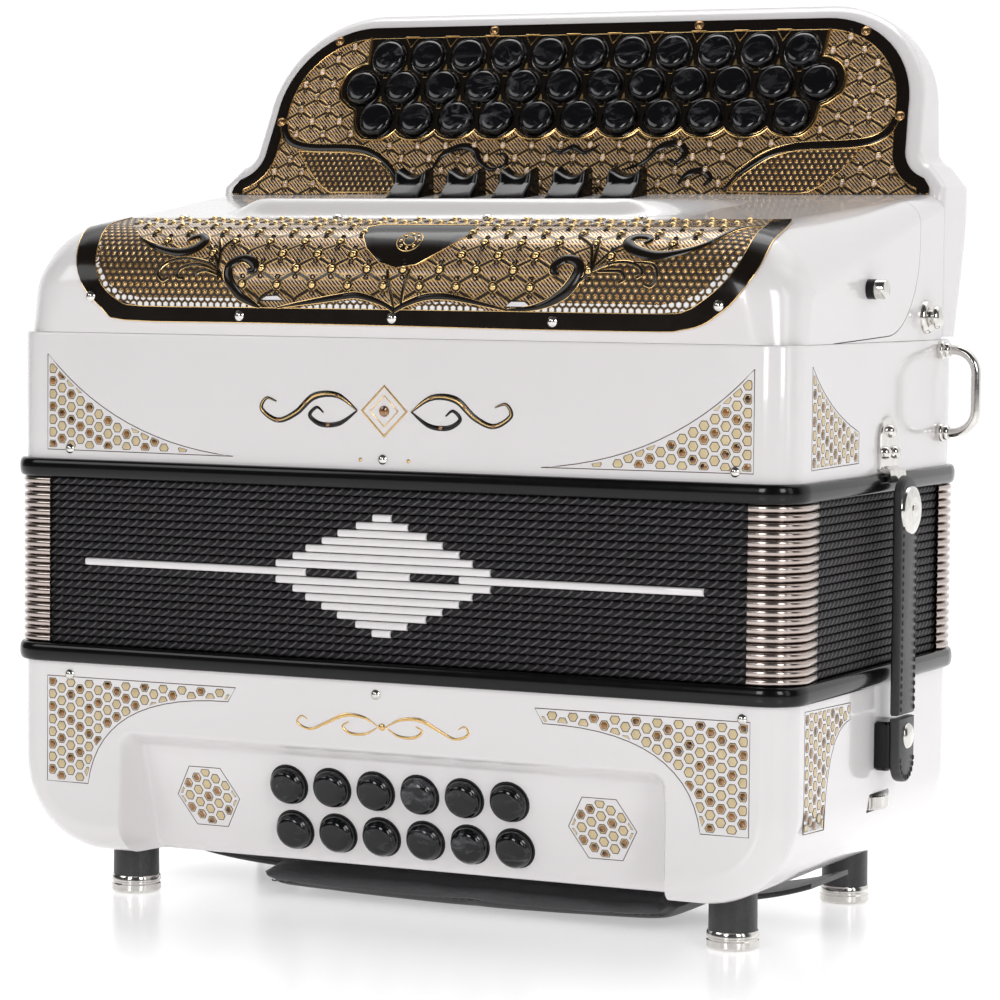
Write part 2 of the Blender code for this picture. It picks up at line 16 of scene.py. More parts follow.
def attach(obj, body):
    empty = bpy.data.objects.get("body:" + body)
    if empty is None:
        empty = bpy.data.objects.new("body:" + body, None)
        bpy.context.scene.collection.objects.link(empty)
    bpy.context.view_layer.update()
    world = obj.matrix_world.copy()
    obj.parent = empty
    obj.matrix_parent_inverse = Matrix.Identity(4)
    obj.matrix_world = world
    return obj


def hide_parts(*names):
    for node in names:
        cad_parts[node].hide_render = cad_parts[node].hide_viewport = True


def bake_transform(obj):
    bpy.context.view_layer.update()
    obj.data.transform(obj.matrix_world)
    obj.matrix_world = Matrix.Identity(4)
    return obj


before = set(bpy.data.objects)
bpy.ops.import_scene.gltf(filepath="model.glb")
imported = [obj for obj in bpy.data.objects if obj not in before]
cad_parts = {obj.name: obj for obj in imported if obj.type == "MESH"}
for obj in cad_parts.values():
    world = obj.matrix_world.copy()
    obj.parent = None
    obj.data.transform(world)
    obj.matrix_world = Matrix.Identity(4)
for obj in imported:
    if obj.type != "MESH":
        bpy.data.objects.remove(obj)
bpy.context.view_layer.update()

MM = 0.001

# Casings, in millimetres
HALF = 165.0
FRONT = -97.5
REAR = 87.5
BACK = 100.5
MIDDLE = (FRONT + REAR) / 2
CASE_R = 12.0
REAR_R = 23.0
BEAD = 3.0
FOOT_H = 20.0
BASS_TOP = 95.0
BELLOWS_LOW = 102.3
BELLOWS_HIGH = 168.0
TREBLE_LOW = 175.3
TREBLE_TOP = 225.0
BASS_END_R = 36.0
FOLDS = 21

# Sloping bass panel
TILT = math.radians(15.8)
RECESS_HALF = 117.0
RECESS_TOP = 69.0
BASS_OUT = Vector((0.0, -math.cos(TILT), -math.sin(TILT)))
BASS_UP = Vector((0.0, -math.sin(TILT), math.cos(TILT)))

# Grille cover and register deck
UPPER_HALF = 164.4
NOSE_R = 26.0
NOSE = (FRONT + NOSE_R, 241.5)
DECK = math.radians(6.2)
NOSE_ARC = NOSE_R * (math.pi / 2 - DECK)
COVER_REAR = FRONT + 132.0

# Fingerboard
PLATE_TILT = math.radians(67.26)
PLATE_FOOT = Vector((0.0, FRONT + 155.9, 280.0))
PLATE_OUT = Vector((0.0, -math.sin(PLATE_TILT), math.cos(PLATE_TILT)))
PLATE_UP = Vector((0.0, math.cos(PLATE_TILT), math.sin(PLATE_TILT)))
RIM = 5.5
PITCH = 19.0
TREBLE_ROWS = ((11, 36.6), (12, 51.2), (11, 65.7))


# ---------------------------------------------------------------- shader helpers


class Wire:
    """A shader socket that can be used in sums."""

    def __init__(self, tree, socket):
        self.tree = tree
        self.socket = socket

    def op(self, operation, *others, clamp=False):
        node = self.tree.nodes.new("ShaderNodeMath")
        node.operation = operation
        node.use_clamp = clamp
        for slot, item in zip(node.inputs, (self, *others)):
            connect(self.tree, item, slot)
        return Wire(self.tree, node.outputs[0])

    def __add__(self, other):
        return self.op("ADD", other)

    __radd__ = __add__

    def __mul__(self, other):
        return self.op("MULTIPLY", other)

    __rmul__ = __mul__

    def __sub__(self, other):
        return self.op("SUBTRACT", other)

    def __truediv__(self, other):
        return self.op("DIVIDE", other)

    def flip(self):
        return self.op("MULTIPLY_ADD", -1.0, 1.0)

    def sin(self):
        return self.op("SINE")

    def fract(self):
        return self.op("FRACT")

    def size(self):
        return self.op("ABSOLUTE")

    def least(self, other):
        return self.op("MINIMUM", other)

    def most(self, other):
        return self.op("MAXIMUM", other)

    def ramp(self, low, high):
        """0 below low, 1 above high, and smooth between."""
        node = self.tree.nodes.new("ShaderNodeMapRange")
        node.interpolation_type = "SMOOTHSTEP"
        connect(self.tree, self, node.inputs["Value"])
        node.inputs["From Min"].default_value = low
        node.inputs["From Max"].default_value = high
        return Wire(self.tree, node.outputs["Result"])


def connect(tree, item, slot):
    if isinstance(item, Wire):
        tree.links.new(item.socket, slot)
    else:
        slot.default_value = item


class Finish:
    """A material under construction, with its node tree and Principled shader."""

    def __init__(self, name, rough=0.3, metal=0.0, **constants):
        self.material = bpy.data.materials.new(name)
        self.material.use_nodes = True
        self.tree = self.material.node_tree
        self.shader = self.tree.nodes["Principled BSDF"]
        self.shader.inputs["Roughness"].default_value = rough
        self.shader.inputs["Metallic"].default_value = metal
        for key, value in constants.items():
            self.shader.inputs[key.replace("_", " ")].default_value = value
        self.place = self.new("ShaderNodeTexCoord").outputs["Object"]

    def new(self, kind):
        return self.tree.nodes.new(kind)

    def set(self, key, item):
        connect(self.tree, item, self.shader.inputs[key])

    def noise(self, scale, detail=3.0, rough=0.5, distortion=0.0, stretch=None, place=None):
        node = self.new("ShaderNodeTexNoise")
        node.inputs["Scale"].default_value = scale
        node.inputs["Detail"].default_value = detail
        node.inputs["Roughness"].default_value = rough
        node.inputs["Distortion"].default_value = distortion
        source = place or self.place
        if stretch:
            mapping = self.new("ShaderNodeMapping")
            mapping.inputs["Scale"].default_value = stretch
            self.tree.links.new(source, mapping.inputs["Vector"])
            source = mapping.outputs["Vector"]
        self.tree.links.new(source, node.inputs["Vector"])
        return Wire(self.tree, node.outputs["Fac"])

    def voronoi(self, scale, feature="F1"):
        node = self.new("ShaderNodeTexVoronoi")
        node.feature = feature
        node.inputs["Scale"].default_value = scale
        self.tree.links.new(self.place, node.inputs["Vector"])
        return Wire(self.tree, node.outputs["Distance"])

    def axes(self):
        node = self.new("ShaderNodeSeparateXYZ")
        self.tree.links.new(self.place, node.inputs[0])
        return [Wire(self.tree, node.outputs[i]) * 1000.0 for i in range(3)]

    def sheet(self):
        """The two map coordinates of a piece, in millimetres."""
        node = self.new("ShaderNodeUVMap")
        node.uv_map = "sheet"
        parts = self.new("ShaderNodeSeparateXYZ")
        self.tree.links.new(node.outputs[0], parts.inputs[0])
        return Wire(self.tree, parts.outputs[0]) * 1000.0, Wire(self.tree, parts.outputs[1]) * 1000.0

    def mix(self, share, low, high):
        node = self.new("ShaderNodeMix")
        node.data_type = "RGBA"
        connect(self.tree, share, node.inputs["Factor"])
        for colour, slot in ((low, node.inputs["A"]), (high, node.inputs["B"])):
            pass
        slots = [s for s in node.inputs if s.type == "RGBA"]
        for colour, slot in ((low, slots[0]), (high, slots[1])):
            connect(self.tree, colour if isinstance(colour, Wire) else (*colour, 1.0), slot)
        out = next(s for s in node.outputs if s.type == "RGBA")
        return Wire(self.tree, out)

    def bump(self, height, strength=0.2, distance=0.2):
        node = self.new("ShaderNodeBump")
        node.inputs["Strength"].default_value = strength
        node.inputs["Distance"].default_value = distance * MM
        connect(self.tree, height, node.inputs["Height"])
        self.tree.links.new(node.outputs["Normal"], self.shader.inputs["Normal"])


def hex_cells(u, v, pitch):
    """How far a point lies from the middle of its cell: 0 there and 1 on the cell's wall."""
    step = math.sqrt(3.0)
    found = None
    for shift in (0.0, 0.5):
        a = ((u / pitch) + shift).fract() - 0.5
        b = (((v / (pitch * step)) + shift).fract() - 0.5) * step
        away = a.size().most(a.size() * 0.5 + b.size() * (step / 2))
        found = away if found is None else found.least(away)
    return found * 2.0


def white_celluloid():
    made = Finish("white_celluloid", rough=0.16, Coat_Weight=0.5, Coat_Roughness=0.05)
    cloud = made.noise(9.0, 4.0)
    made.set("Base Color", made.mix(cloud, (0.74, 0.71, 0.715), (0.78, 0.755, 0.76)))
    made.set("Roughness", made.noise(60.0, 2.0) * 0.1 + 0.12)
    made.bump(made.noise(25.0, 2.0), 0.05, 0.1)
    return made.material


def black_gloss(name="black_celluloid", dark=(0.0015, 0.0015, 0.002), light=(0.004, 0.0035, 0.004)):
    made = Finish(name, Coat_Weight=0.12, Coat_Roughness=0.03, Specular_IOR_Level=0.25)
    smear = made.noise(40.0, 4.0)
    made.set("Base Color", made.mix(smear, dark, light))
    made.set("Roughness", made.noise(120.0, 3.0) * 0.12 + 0.1)
    made.bump(made.noise(60.0, 2.0), 0.04, 0.05)
    return made.material


def dark_pearl():
    made = Finish("dark_pearl", Coat_Weight=0.4, Coat_Roughness=0.03, Specular_IOR_Level=0.25)
    warp = made.noise(90.0, 4.0, 0.6, 1.6, stretch=(1.0, 1.0, 2.2))
    veil = made.noise(26.0, 2.0).ramp(0.46, 0.68)
    streak = warp.ramp(0.48, 0.74) * (veil * 0.8 + 0.2)
    made.set("Base Color", made.mix(streak, (0.003, 0.003, 0.004), (0.11, 0.11, 0.12)))
    made.set("Roughness", streak * 0.15 + 0.12)
    made.set("Metallic", streak * 0.35)
    return made.material


def metal(name, light, dark, rough, grain=400.0):
    made = Finish(name, metal=1.0)
    wear = made.noise(grain, 4.0, 0.6)
    made.set("Base Color", made.mix(wear, dark, light))
    made.set("Roughness", wear * 0.14 + rough)
    made.bump(made.noise(grain * 2.0, 2.0), 0.06, 0.05)
    return made.material


def bellows_cloth():
    """Black cloth whose folds show slanting dashes of a paler thread."""
    made = Finish("bellows_cloth")
    x, y, z = made.axes()
    along = x + y
    lint = made.noise(420.0, 3.0)
    slant = along * (2 * math.pi / 4.1) + z * -2.1 + lint * 2.2
    dash = slant.sin().ramp(0.35, 0.95)
    fine = ((along * 6.2) + (z * 5.0)).sin() * 0.5 + 0.5
    shade = dash * (fine * 0.5 + 0.5) * (lint * 0.9 + 0.35)
    made.set("Base Color", made.mix(shade, (0.005, 0.004, 0.005), (0.13, 0.12, 0.13)))
    made.set("Roughness", dash * -0.15 + 0.6)
    made.set("Specular IOR Level", 0.3)
    made.bump(dash + fine * 0.4 + lint * 0.4, 0.6, 0.35)
    return made.material


def leather(name, dark=(0.008, 0.008, 0.009), light=(0.04, 0.04, 0.043)):
    made = Finish(name, Coat_Weight=0.15, Coat_Roughness=0.3)
    grain = made.voronoi(900.0)
    crease = made.noise(120.0, 5.0, 0.6)
    made.set("Base Color", made.mix(crease * (grain * 0.6 + 0.5), dark, light))
    made.set("Roughness", crease * 0.25 + 0.34)
    made.bump(grain * 0.7 + crease * 0.6, 0.35, 0.3)
    return made.material


def felt():
    # Near-black felt for the closed linings of the button holes: partly the felt itself, partly painted shade for the
    # dark insides of the holes
    made = Finish("black_felt_shade", rough=0.95, Sheen_Weight=0.3)
    fibre = made.noise(1500.0, 4.0)
    made.set("Base Color", made.mix(fibre, (0.002, 0.002, 0.002), (0.02, 0.02, 0.02)))
    made.bump(fibre, 0.5, 0.2)
    return made.material


def stone(name, deep, bright):
    made = Finish(name, Coat_Weight=1.0, Coat_Roughness=0.02)
    glint = made.voronoi(420.0)
    made.set("Base Color", made.mix(glint.ramp(0.1, 0.7), deep, bright))
    made.set("Roughness", glint * 0.2 + 0.05)
    made.set("Metallic", glint.flip() * 0.6)
    return made.material


def hex_mesh_finish(name, pitch, warm=0.0):
    """Gold sheet with dark-walled hexagonal cells, each with a painted highlight: a bright spot in its middle."""
    made = Finish(name)
    u, v = made.sheet()
    cell = hex_cells(u, v, pitch)
    wall = cell.ramp(0.50, 0.76)
    # spot: mask of the painted highlight, brightest at each cell's middle
    spot = cell.ramp(0.12, 0.40).flip()
    drift = made.noise(45.0, 3.0)
    highlight_flicker = made.noise(260.0, 2.0)
    face = made.mix(drift, (0.17, 0.085 - warm * 0.01, 0.02), (0.48, 0.27, 0.09))
    # Painted highlight: the spot is mixed towards pale gold, in patches set by the flicker noise
    lit = made.mix(spot * highlight_flicker.ramp(0.35, 0.6), face, (1.0, 0.80, 0.46))
    made.set("Base Color", made.mix(wall, lit, (0.022, 0.014, 0.009)))
    made.set("Metallic", wall * -0.5 + 0.75)
    made.set("Roughness", wall * 0.25 + 0.22)
    made.bump(cell.flip() + spot * 0.4, 0.7, 0.5)
    return made.material


def lattice_finish(name, across, rise, origin, tone):
    """Engraved plate: rows of bell-shaped cells with dark walls, hatched in silver and gold."""
    made = Finish(name, Coat_Weight=0.5, Coat_Roughness=0.06)
    u, v = made.sheet()
    turn = 2 * math.pi
    row = (v - origin[1]) / rise
    odd = (row * 0.5).fract().ramp(0.499, 0.501)
    share = row.fract()
    near = (((u - origin[0]) / across + odd * 0.5 + 0.5).fract() - 0.5).size()
    swing = share * share * (share * -2.0 + 3.0)
    lean = share * share.flip() * (3.0 * across / rise)
    away = (near - swing * 0.5).size() * across / (lean * lean + 1.0).op("SQRT")
    wall = away.ramp(0.42, 0.72).flip()
    rim = away.ramp(0.62, 0.8) * away.ramp(0.95, 1.3).flip()
    hatch = ((u + v) * (turn / 1.6)).sin().ramp(-0.3, 0.4)
    stripe = (v * (turn / 2.3)).sin().ramp(0.35, 0.85)
    drift = made.noise(30.0, 3.0)
    fleck = made.noise(520.0, 2.0).ramp(0.35, 0.7)
    weave = made.mix(hatch, (0.028, 0.016, 0.008), tuple(part * tone for part in (0.90, 0.64, 0.43)))
    gilt = made.mix(drift, (0.34, 0.18, 0.045), tuple(part * tone for part in (1.15, 0.74, 0.26)))
    ground = made.mix(stripe * (fleck * 0.5 + 0.4), weave, gilt)
    ground = made.mix(rim * 0.95, ground, gilt)
    made.set("Base Color", made.mix(wall, ground, (0.018, 0.012, 0.008)))
    made.set("Metallic", wall * -0.4 + 0.7)
    made.set("Roughness", hatch * 0.12 + 0.19)
    made.bump(hatch * 0.4 + rim + wall * -1.0, 0.7, 0.4)
    return made.material


def gold_leaf():
    made = Finish("inlay_leaf", metal=0.55)
    tone = made.noise(300.0, 3.0)
    made.set("Base Color", made.mix(tone, (0.52, 0.40, 0.22), (0.74, 0.62, 0.41)))
    made.set("Roughness", tone * 0.2 + 0.3)
    return made.material


WHITE = white_celluloid()
BLACK = black_gloss()
BORDER = black_gloss("black_enamel", (0.005, 0.0035, 0.003), (0.010, 0.007, 0.005))
PEARL = dark_pearl()
NICKEL = metal("nickel", (0.80, 0.78, 0.75), (0.55, 0.53, 0.50), 0.06)
GOLD = metal("gold_plate", (0.90, 0.63, 0.30), (0.54, 0.35, 0.13), 0.16)
TINTED = metal("bellows_corner_metal", (0.54, 0.46, 0.43), (0.40, 0.34, 0.31), 0.12, 25.0)
CLOTH = bellows_cloth()
LEATHER = leather("black_leather")
PAD = leather("hand_strap_pad", (0.014, 0.014, 0.016), (0.06, 0.06, 0.064))
FELT_SHADE = felt()
INK = metal("inlay_outline", (0.16, 0.12, 0.09), (0.05, 0.04, 0.03), 0.4)
LEAF = gold_leaf()
COPPER = metal("plate_screw_gilt", (0.62, 0.38, 0.18), (0.30, 0.17, 0.07), 0.2)
AMBER = stone("amber_stone", (0.008, 0.004, 0.002), (0.30, 0.13, 0.035))
CLEAR = stone("clear_stone", (0.14, 0.08, 0.05), (0.88, 0.68, 0.54))
THREAD = metal("thread", (0.16, 0.16, 0.17), (0.05, 0.05, 0.05), 0.5)
GRILLE_MESH = hex_mesh_finish("grille_mesh", 2.9)
LEAF_SCALES = hex_mesh_finish("leaf_scales", 2.75, 1.0)
GRILLE_LATTICE = lattice_finish("grille_lattice", 15.3, 6.2, (-0.7, 3.1), 0.74)
PLATE_LATTICE = lattice_finish("plate_lattice", 13.4, 5.87, (-5.8, 1.0), 0.9)


# ---------------------------------------------------------------- shape helpers


def arc(centre, radius, start, end, steps):
    """Points on a circle, from one angle to another in degrees."""
    turns = [math.radians(start + (end - start) * i / steps) for i in range(steps + 1)]
    return [(centre[0] + radius * math.cos(t), centre[1] + radius * math.sin(t)) for t in turns]


def lerp(table, value):
    """A value read off a short list of (position, value) pairs."""
    return float(np.interp(value, [a for a, _ in table], [b for _, b in table]))


def smooth_path(points, steps=6):
    """A smooth curve through the points."""
    ends = [points[0]] + list(points) + [points[-1]]
    made = []
    for p0, p1, p2, p3 in zip(ends, ends[1:], ends[2:], ends[3:]):
        for i in range(steps):
            t = i / steps
            made.append(tuple(
                0.5 * (2 * b + (c - a) * t + (2 * a - 5 * b + 4 * c - d) * t * t
                       + (3 * b - a - 3 * c + d) * t ** 3)
                for a, b, c, d in zip(p0, p1, p2, p3)
            ))
    return made + [tuple(points[-1])]


def inside(points, outline):
    """Which of the points lie in a closed outline."""
    points = np.asarray(points, float)
    x, y = points[:, 0], points[:, 1]
    found = np.zeros(len(points), bool)
    for (x0, y0), (x1, y1) in zip(outline, outline[1:] + outline[:1]):
        if y0 == y1:
            continue
        crosses = (y0 > y) != (y1 > y)
        found ^= crosses & (x < (x1 - x0) * (y - y0) / (y1 - y0) + x0)
    return found


class Shape:
    """Points, faces and finishes of one piece, in millimetres."""

    def __init__(self):
        self.points = []
        self.faces = []
        self.slots = []
        self.maps = []

    def add(self, points, faces, slot=0, maps=None):
        start = len(self.points)
        self.points += [tuple(p) for p in points]
        self.maps += maps or [(0.0, 0.0)] * len(points)
        self.faces += [tuple(start + i for i in face) for face in faces]
        self.slots += [slot] * len(faces)
        return start

    def loft(self, rings, slot=0, closed=True, caps=(True, True)):
        count = len(rings[0])
        points = [point for ring in rings for point in ring]
        faces = []
        for r in range(len(rings) - 1):
            for i in range(count if closed else count - 1):
                j = (i + 1) % count
                a, b = r * count, (r + 1) * count
                faces.append((a + i, a + j, b + j, b + i))
        if caps[0]:
            faces.append(tuple(range(count))[::-1])
        if caps[1]:
            last = (len(rings) - 1) * count
            faces.append(tuple(range(last, last + count)))
        self.add(points, faces, slot)

    def turn(self, profile, position, axis, slot=0, steps=32, caps=(True, True)):
        """A turned form: (radius, height) pairs from its outer end down, round its own axis."""
        frame_ = Vector((0, 0, 1)).rotation_difference(Vector(axis)).to_matrix()
        rings = []
        for radius, height in profile:
            ring = []
            for i in range(steps):
                t = 2 * math.pi * i / steps
                local = Vector((radius * math.cos(t), radius * math.sin(t), height))
                ring.append(Vector(position) + frame_ @ local)
            rings.append(ring)
        self.loft(rings[::-1], slot, True, caps)

    def box(self, low, high, edge=0.6, slot=0):
        """A box with chamfered edges, as a stack of rings up Z."""
        rings = []
        for z, inset in ((low[2], edge), (low[2] + edge, 0.0), (high[2] - edge, 0.0), (high[2], edge)):
            rings.append([
                (x, y, z)
                for x, y in rounded_rectangle(
                    low[0] + inset, low[1] + inset, high[0] - inset, high[1] - inset, edge + 0.4, edge + 0.4, 3
                )
            ])
        self.loft(rings, slot)

    def tube(self, path, radius, slot=0, sides=12):
        """A round rod along a path of points."""
        path = [Vector(p) for p in path]
        rings = []
        side = None
        for i, point in enumerate(path):
            along = (path[min(i + 1, len(path) - 1)] - path[max(i - 1, 0)]).normalized()
            if side is None:
                side = along.orthogonal().normalized()
            side = (side - along * side.dot(along)).normalized()
            other = along.cross(side)
            size = radius[i] if isinstance(radius, (list, tuple)) else radius
            rings.append([
                point + side * (size * math.cos(t)) + other * (size * math.sin(t))
                for t in (2 * math.pi * k / sides for k in range(sides))
            ])
        self.loft(rings, slot)

    def patch(self, outline, place, lift, slot=0, holes=(), spacing=None, skirt=0.0):
        """A sheet cut to an outline drawn in two coordinates and laid on a surface."""
        loops = [list(outline)] + [list(hole) for hole in holes]
        flat = [point for loop in loops for point in loop]
        edges = []
        start = 0
        for loop in loops:
            edges += [(start + i, start + (i + 1) % len(loop)) for i in range(len(loop))]
            start += len(loop)
        if spacing:
            xs = [p[0] for p in outline]
            ys = [p[1] for p in outline]
            grid = [
                (a, b)
                for a in np.arange(min(xs), max(xs), spacing)
                for b in np.arange(min(ys), max(ys), spacing)
            ]
            keep = inside(grid, loops[0])
            for hole in loops[1:]:
                keep &= ~inside(grid, hole)
            rim = np.array(flat)
            for point, good in zip(grid, keep):
                if good and np.min(np.hypot(*(rim - point).T)) > spacing * 0.35:
                    flat.append(point)
        found = delaunay_2d_cdt([Vector(p) for p in flat], edges, [], 0, 1e-5)
        points, faces = found[0], found[2]
        middles = [
            tuple(sum(points[i][k] for i in face) / len(face) for k in (0, 1)) for face in faces
        ]
        keep = inside(middles, loops[0])
        for hole in loops[1:]:
            keep &= ~inside(middles, hole)
        kept = [tuple(face) for face, good in zip(faces, keep) if good]
        used = sorted({i for face in kept for i in face})
        index = {old: new for new, old in enumerate(used)}
        chosen = [tuple(points[i]) for i in used]
        self.add(
            [place(a, b, lift) for a, b in chosen],
            [tuple(index[i] for i in face) for face in kept],
            slot,
            [tuple(p) for p in chosen],
        )
        if skirt:
            for number, loop in enumerate(loops):
                upper = [place(a, b, lift) for a, b in loop]
                lower = [place(a, b, lift - skirt) for a, b in loop]
                count = len(loop)
                turn = signed_area(loop) > 0
                if number:
                    turn = not turn
                faces = []
                for i in range(count):
                    j = (i + 1) % count
                    face = (i, j, count + j, count + i)
                    faces.append(face[::-1] if turn else face)
                self.add(upper + lower, faces, slot, [tuple(p) for p in loop] * 2)

    def ribbon(self, path, widths, place, lift, dome=0.3, slot=0, closed=False):
        """A raised band along a path on a surface; widths are half widths along it."""
        count = len(path)
        rows = []
        for i, point in enumerate(path):
            before = path[(i - 1) % count if closed else max(i - 1, 0)]
            after = path[(i + 1) % count if closed else min(i + 1, count - 1)]
            dx, dy = after[0] - before[0], after[1] - before[1]
            size = math.hypot(dx, dy) or 1.0
            nx, ny = -dy / size, dx / size
            if isinstance(widths, (int, float)):
                half = widths
            else:
                half = lerp([(k / (len(widths) - 1), w) for k, w in enumerate(widths)], i / (count - 1))
            row = []
            for across, high in ((-1, -0.3), (-1, 0), (-0.6, dome * 0.8), (0, dome),
                                 (0.6, dome * 0.8), (1, 0), (1, -0.3)):
                row.append(place(point[0] + nx * half * across, point[1] + ny * half * across, lift + high))
            rows.append(row)
        if closed:
            rows.append(rows[0])
        self.loft(rows, slot, False, (False, False))

    def dome(self, centre, radius, height, place, lift, slot=0, sides=10):
        """A small cut stone or screw head on a surface."""
        rings = []
        for share, high in ((1.0, -0.2), (1.0, height * 0.35), (0.62, height * 0.85), (0.25, height)):
            rings.append([
                place(centre[0] + radius * share * math.cos(t), centre[1] + radius * share * math.sin(t),
                      lift + high)
                for t in (2 * math.pi * k / sides for k in range(sides))
            ])
        self.loft(rings, slot, True, (False, True))

    def piece(self, name, materials, body=None, smooth=40.0, slot=None, replaces=(), fix=False):
        mesh = bpy.data.meshes.new(name)
        mesh.from_pydata([(x * MM, y * MM, z * MM) for x, y, z in self.points], [], self.faces)
        materials = materials if isinstance(materials, (list, tuple)) else [materials]
        for material in materials:
            mesh.materials.append(material)
        mesh.polygons.foreach_set("material_index", self.slots)
        layer = mesh.uv_layers.new(name="sheet")
        where = np.array(self.maps, float)[[loop.vertex_index for loop in mesh.loops]] * 0.001
        layer.data.foreach_set("uv", where.ravel().astype(np.float32))
        mesh.update()
        made = bpy.data.objects.new(name, mesh)
        bpy.context.scene.collection.objects.link(made)
        if fix:
            turn_outward(mesh)
        finish_shading(mesh, smooth)
        if replaces:
            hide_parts(*replaces)
        if body:
            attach(made, body)
        return made


def signed_area(loop):
    return sum(a[0] * b[1] - b[0] * a[1] for a, b in zip(loop, loop[1:] + loop[:1])) / 2


def turn_outward(mesh):
    import bmesh

    bm = bmesh.new()
    bm.from_mesh(mesh)
    bmesh.ops.recalc_face_normals(bm, faces=bm.faces)
    bm.to_mesh(mesh)
    bm.free()


def finish_shading(mesh, smooth):
    mesh.shade_smooth()
    if smooth < 180:
        mesh.set_sharp_from_angle(angle=math.radians(smooth))


def carve(target, cutters, operation="DIFFERENCE"):
    """Applies Booleans to a piece that is still in place, and deletes the tools."""
    for cutter in cutters:
        turn_outward(cutter.data)
        modifier = target.modifiers.new("carve", "BOOLEAN")
        modifier.operation = operation
        modifier.solver = "EXACT"
        modifier.object = cutter
    bpy.context.view_layer.update()
    graph = bpy.context.evaluated_depsgraph_get()
    mesh = bpy.data.meshes.new_from_object(target.evaluated_get(graph))
    target.modifiers.clear()
    target.data = mesh
    for cutter in cutters:
        bpy.data.objects.remove(cutter, do_unlink=True)


def settle(target, smooth=32.0):
    """Flat faces stay flat and rounded ones smooth after a Boolean."""
    finish_shading(target.data, smooth)
    modifier = target.modifiers.new("weighted", "WEIGHTED_NORMAL")
    modifier.keep_sharp = True
    modifier.weight = 80
    bpy.context.view_layer.update()
    graph = bpy.context.evaluated_depsgraph_get()
    mesh = bpy.data.meshes.new_from_object(target.evaluated_get(graph))
    target.modifiers.clear()
    target.data = mesh


def rounded_rectangle(x0, y0, x1, y1, near, far, steps=8):
    points = []
    corners = ((x1, y1, 0), (x0, y1, 90), (x0, y0, 180), (x1, y0, 270))
    for x, y, start in corners:
        radius = far if y == y1 else near
        cx = x - radius if x == x1 else x + radius
        cy = y - radius if y == y1 else y + radius
        points += arc((cx, cy), radius, start, start + 90, steps)
    return points


def rounding(distance, radius):
    """How far a rounded edge has fallen away at a distance in from it."""
    short = max(0.0, radius - max(distance, 0.0))
    return radius - math.sqrt(max(radius * radius - short * short, 0.0))


def case_ring(half, y0, y1, radius, z, steps=8):
    corners = rounded_rectangle(-half, y0, half, y1, radius, radius + REAR_R - CASE_R, steps)
    return [(x, y, z) for x, y in corners]


# ---------------------------------------------------------------- surfaces that ornaments lie on


def on_front(x, z, lift):
    """The flat front of both casings, with their rounded upright corners."""
    return (x, FRONT + rounding(HALF - abs(x), CASE_R) - lift, z)


def on_right(y, z, lift):
    return (HALF + lift, y, z)


def on_left(y, z, lift):
    return (-HALF - lift, y, z)


def recess_y(z):
    return FRONT + 8.3 + (RECESS_TOP - z) * math.tan(TILT)


def on_bass_panel(x, z, lift):
    return tuple(Vector((x, recess_y(z), z)) + BASS_OUT * lift)


def on_plate(x, w, height=0.0):
    return tuple(PLATE_FOOT + Vector((x, 0, 0)) + PLATE_UP * w + PLATE_OUT * height)


def deck_z(y):
    start = NOSE[0] - NOSE_R * math.sin(DECK)
    return NOSE[1] + NOSE_R * math.cos(DECK) + (y - start) * math.tan(DECK)


def cover_profile(s):
    """Point and outward direction of the cover's middle line, s along it from the nose's foot."""
    if s <= 0:
        return (FRONT, NOSE[1] + s), (-1.0, 0.0)
    if s < NOSE_ARC:
        angle = math.pi - s / NOSE_R
        out = (math.cos(angle), math.sin(angle))
        return (NOSE[0] + NOSE_R * out[0], NOSE[1] + NOSE_R * out[1]), out
    out = (-math.sin(DECK), math.cos(DECK))
    along = (math.cos(DECK), math.sin(DECK))
    far = s - NOSE_ARC
    return (NOSE[0] + NOSE_R * out[0] + far * along[0], NOSE[1] + NOSE_R * out[1] + far * along[1]), out


DECK_END = NOSE_ARC + (FRONT + 158.0 - NOSE[0] + NOSE_R * math.sin(DECK)) / math.cos(DECK)
COVER_FOOT = TREBLE_TOP + 0.03 - NOSE[1]
END_DROP = ((COVER_FOOT, 17.0), (0.0, 20.0), (18.0, 25.0), (NOSE_ARC, 25.5), (NOSE_ARC + 108, 9.0), (DECK_END, 7.0))
END_WIDTH = ((COVER_FOOT, 17.0), (0.0, 23.0), (18.0, 29.0), (NOSE_ARC, 30.0), (NOSE_ARC + 108, 10.0), (DECK_END, 8.0))


def on_cover(x, s, lift):
    """The cover's surface, x across and s along its profile, with its rounded ends."""
    (y, z), out = cover_profile(s)
    drop, width = lerp(END_DROP, s), lerp(END_WIDTH, s)
    share = min(max((abs(x) - (UPPER_HALF - width)) / width, 0.0), 1.0)
    fall = drop * (1 - math.sqrt(1 - share * share)) - lift * math.sqrt(1 - share * share)
    side = math.copysign(lift * share, x)
    return (x + side, y - out[0] * fall, z - out[1] * fall)


# ---------------------------------------------------------------- bass side


def front_rings(outline, y_front, y_back, radius, steps=8, far=None):
    """Rings from front to back of a form seen from the front, its edges rounded by radius."""
    rings = []
    for i in range(steps + 1):
        t = math.radians(90 * i / steps)
        inset = radius * (1 - math.sin(t))
        rings.append([(x, y_front(z) + radius * (1 - math.cos(t)), z) for x, z in outline(inset)])
    radius = far or radius
    for i in range(steps + 1):
        t = math.radians(90 - 90 * i / steps)
        inset = radius * (1 - math.sin(t))
        rings.append([(x, y_back(z) - radius * (1 - math.cos(t)), z) for x, z in outline(inset)])
    return rings


def bass_outline(inset):
    half, low, radius = HALF - inset, FOOT_H + inset, BASS_END_R - inset
    outline = [(half, BASS_TOP)]
    outline += arc((half - radius, low + radius), radius, 0, -90, 14)
    outline += arc((radius - half, low + radius), radius, -90, -180, 14)
    return outline + [(-half, BASS_TOP)]


